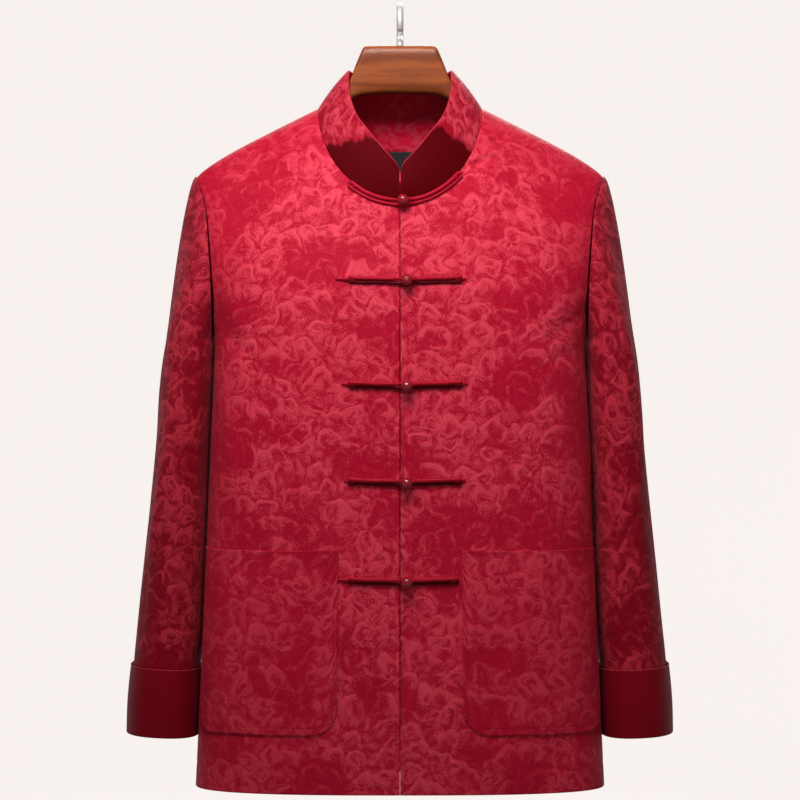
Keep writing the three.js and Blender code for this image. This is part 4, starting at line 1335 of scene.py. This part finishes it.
def add_pankou(row, cord_material, bead_material):
    """Two satin cords on each side, the loop they make round the bead's shank, and the bead."""
    bead_x, bead_drop = bead_place(row)
    number = row + 1
    loop_tail, knot_tail = TAILS[row]

    cords = []
    loop_start = PANKOU["loop_start"]
    x = np.linspace(loop_start, bead_x - 8.2, 40)
    near = np.clip((x - bead_x + 22) / 14, 0, 1)
    fan = PANKOU["spread"] * (1 + 0.2 * np.clip((loop_start + 14 - x) / 14, 0, 1) + 0.25 * near)
    turn = np.linspace(math.pi * 0.86, 0.1, 14)
    reach = PANKOU["loop_reach"]
    for edge, cord in PANKOU["cords"].items():
        slim = cord + (PANKOU["loop_cord"] - cord) * np.concatenate([near, np.ones(14)])
        lift = PANKOU["proud"][edge] + 0.5 * near
        eye_drop = bead_drop + edge * (0.3 + reach * 0.8 * np.sin(turn))
        eye = laid_on_front(bead_x + reach * np.cos(turn), eye_drop, 2.8 + 0 * turn)
        cords.append(sewn_cord(f"loop_{number}_{edge}", row, x, fan, lift, edge, slim, cord_material, eye))
    cords.append(sewn_tail(
        f"loop_tail_{number}", row, loop_start - loop_tail, loop_start + 4, cord_material))
    strap("loop", row, cords, cord_material)

    cords = []
    knot_start = PANKOU["knot_start"] - (4 if row == 4 else 0)
    x = np.linspace(knot_start, bead_x + 1.2, 44)
    near = np.clip((x - bead_x) / 8, 0.3, 1)
    fan = PANKOU["spread"] * (1 + 0.2 * np.clip((x - knot_start + 14) / 14, 0, 1)) * near
    for edge, cord in PANKOU["cords"].items():
        over = PANKOU["proud"][edge] + 2.6 * np.clip((bead_x + 11 - x) / 8, 0, 1) ** 0.8
        cords.append(sewn_cord(f"knot_{number}_{edge}", row, x, fan, over, edge, cord, cord_material))
    cords.append(sewn_tail(
        f"knot_tail_{number}", row, knot_start + knot_tail, knot_start - 4, cord_material))
    strap("knot", row, cords, cord_material)

    lines = []
    for begin, end in ((loop_start + 2, bead_x - 14), (knot_start - 2, bead_x + 14)):
        x = np.linspace(begin, end, 30)
        lines.append(laid_on_front(x, strap_drop(row, x) + 0.55, 2.7 + 0 * x))
    sew(f"pankou_stitches_{number}", lines, cord_material, 3.4, 1.6, 0.28)
    add_bead(row, bead_material)


def add_bead(row, material):
    """Turned bead with a shank that sits in the loop, drilled eye in front."""
    radius = PANKOU["bead"]
    number = row + 1
    seat, outward = front_place(*bead_place(row))
    centre = seat + outward * (radius + PANKOU["bead_standoff"])
    profile = [(0.0, 0.955), (0.10, 0.965), (0.17, 1.0)]
    for k in range(1, 22):
        turn = math.radians(10 + k * 7.2)
        profile.append((math.sin(turn), math.cos(turn) * 0.97))
    profile += [(0.30, -1.02), (0.27, -1.25), (0.30, -1.42), (0.0, -1.44)]
    side = unit(np.cross(outward, [0, 0, 1.0]))
    up = np.cross(side, outward)
    sides = 40
    points = []
    for reach, ahead in profile:
        for k in range(sides):
            turn = 2 * math.pi * k / sides
            spoke = side * math.cos(turn) + up * math.sin(turn)
            points.append(centre + radius * (outward * ahead + reach * spoke))
    faces = ring_faces(len(profile), sides)
    piece = piece_from(f"pankou_bead_{number}_turned", np.array(points) * MM, faces)
    dress(piece, material, [f"pankou_bead_{number}"])


# ------------------------------------------------------------------ label and hanger

def add_label(material, thread):
    """Small bare tape label, sewn inside the back under the collar seam."""
    columns, rows = 14, 22
    x = LABEL["x"] + np.linspace(-1, 1, columns)[None, :] * LABEL["half_width"]
    drop = np.linspace(LABEL["bottom"], LABEL["top"], rows)[:, None]
    x, drop = np.broadcast_arrays(x, drop)
    point, outward = body_place(BACK, 1, angle_of(x, drop), drop)
    point = point.copy()
    point[..., 0] = x
    grid = point - outward * (CLOTH + LABEL["inside"])
    uv = np.stack([x, -drop], axis=-1)
    piece = wall("neck_label_tape", grid, uv, 1, LABEL["wall"], rolls=(0.3, 0.3, 0.3, 0.3))
    dress(piece, material, ["neck_label"])
    lines = [grid[2:-2, column] - outward[2:-2, column] * 0.1 for column in (1, -2)]
    sew("neck_label_stitches", lines, thread, 2.4, 1.6, 0.18)


def smoothed(values, spread):
    """Values along the hanger with their corners eased."""
    reach = int(3 * spread)
    kernel = np.exp(-0.5 * (np.arange(-reach, reach + 1) / spread) ** 2)
    padded = np.pad(values, reach, mode="edge")
    return np.convolve(padded, kernel / kernel.sum(), mode="valid")


def add_hanger_body(material):
    """Neck block and arms, shaped from one board with eased corners and round tips."""
    table = {key: np.array([row[key] for row in HANGER], float) for key in HANGER[0]}
    x = np.arange(-200, 201, 1.0)
    shape = {key: smoothed(np.interp(np.abs(x), table["x"], table[key]), 1.6) for key in table}
    tip = np.sqrt(np.clip(1 - np.clip((np.abs(x) - 190) / 10, 0, 1) ** 2, 0, 1))
    sides = 56
    turn = np.linspace(0, 2 * math.pi, sides, endpoint=False)[None, :]
    y, z = squared_circle(turn, shape["squareness"][:, None])
    middle = (shape["top"] + shape["bottom"]) / 2
    tall = (shape["top"] - shape["bottom"]) / 2 * tip
    deep = (shape["half"] * tip)[:, None] * y
    points = np.stack([x[:, None] + 0 * y, deep, middle[:, None] + tall[:, None] * z], axis=-1)
    piece = piece_from("hanger_body", points.reshape(-1, 3) * MM, ring_faces(len(x), sides))
    dress(piece, material, ["hanger_wood"])


def add_hook(material):
    """Wire that rises from the block, sways back and turns over in a round hook."""
    radius = HOOK["inner_radius"] + HOOK["wire"]
    low = math.radians(-50)
    turn = np.linspace(low, math.radians(205), 70)
    height = -HOOK["inner_radius"] + radius * np.sin(turn)
    curl = np.stack([0 * turn, radius * np.cos(turn), height], axis=-1)
    start = np.array([0, 0, HOOK["stem_bottom"]])
    heading = np.array([0, -math.sin(low), math.cos(low)])
    pull_a, pull_b = start + np.array([0, 0, 5.0]), curl[0] - heading * 6
    t = np.linspace(0, 1, 20)[:-1, None]
    stem = (1 - t) ** 3 * start + 3 * (1 - t) ** 2 * t * pull_a
    stem += 3 * (1 - t) * t**2 * pull_b + t**3 * curl[0]
    path = np.concatenate([stem, curl])
    tube("hanger_wire", path, HOOK["wire"], material, sides=28, nodes=["hanger_hook"])


# ------------------------------------------------------------------ the object

FRONT_SHIFT = {1: (0.37, 0.0, 0.0), -1: (-0.11, 0.06, 0.0)}  # where the pattern falls on a piece
SLEEVE_SHIFT = {1: (3.1, 0.2, 0.0), -1: (-3.4, 0.7, 0.0)}
damask_front, shaded_damask_sleeve = {}, {}
for side, word in SIDES.items():
    damask_front[side] = silk_damask(f"silk damask front {word}", FRONT_SHIFT[side])
damask_back = silk_damask("silk damask back", (2.0, 0.3, 0.0))
# The sleeves take a darker copy of the damask, a painted shade.
for side, word in SIDES.items():
    shaded_damask_sleeve[side] = silk_damask(
        f"shaded silk damask sleeve {word}", SLEEVE_SHIFT[side], SLEEVE_SHADED_GROUND, SLEEVE_SHADED_MOTIF_AND_SHEEN)
damask_pocket = silk_damask("silk damask pocket", (0.0, 1.4, 0.0))
# The collar takes a darker copy of the damask, a painted shade.
collar_cloth = silk_damask(
    "shaded silk damask collar", (5.0, 0.0, 0.0), COLLAR_SHADED_GROUND, COLLAR_SHADED_MOTIF_AND_SHEEN, (1.0, 0.10, 0.15, 1))
cuff_satin = plain_satin("cuff satin", SATIN_RED)
edge_satin = plain_satin("edge satin", (0.42, 0.020, 0.040, 1), 0.3)
cord_satin = plain_satin("cord satin", CORD_RED, 0.32)
bead_gloss = polished_bead()
wood = lacquered_wood()
wire = bright_wire()
tape = label_tape()

add_hanger_body(wood)
add_hook(wire)
back_panel(damask_back)
for side, word in SIDES.items():
    front_panel(side, damask_front[side])
    sleeve = add_sleeve(side, shaded_damask_sleeve[side])
    add_cuff(side, sleeve, cuff_satin, edge_satin)
    pocket_line = add_pocket(side, damask_pocket)
    sew(f"pocket_stitches_{word}", [pocket_line], cuff_satin)
add_collar(collar_cloth, edge_satin)
for row in range(len(PANKOU_DROPS)):
    add_pankou(row, cord_satin, bead_gloss)
add_label(tape, edge_satin)
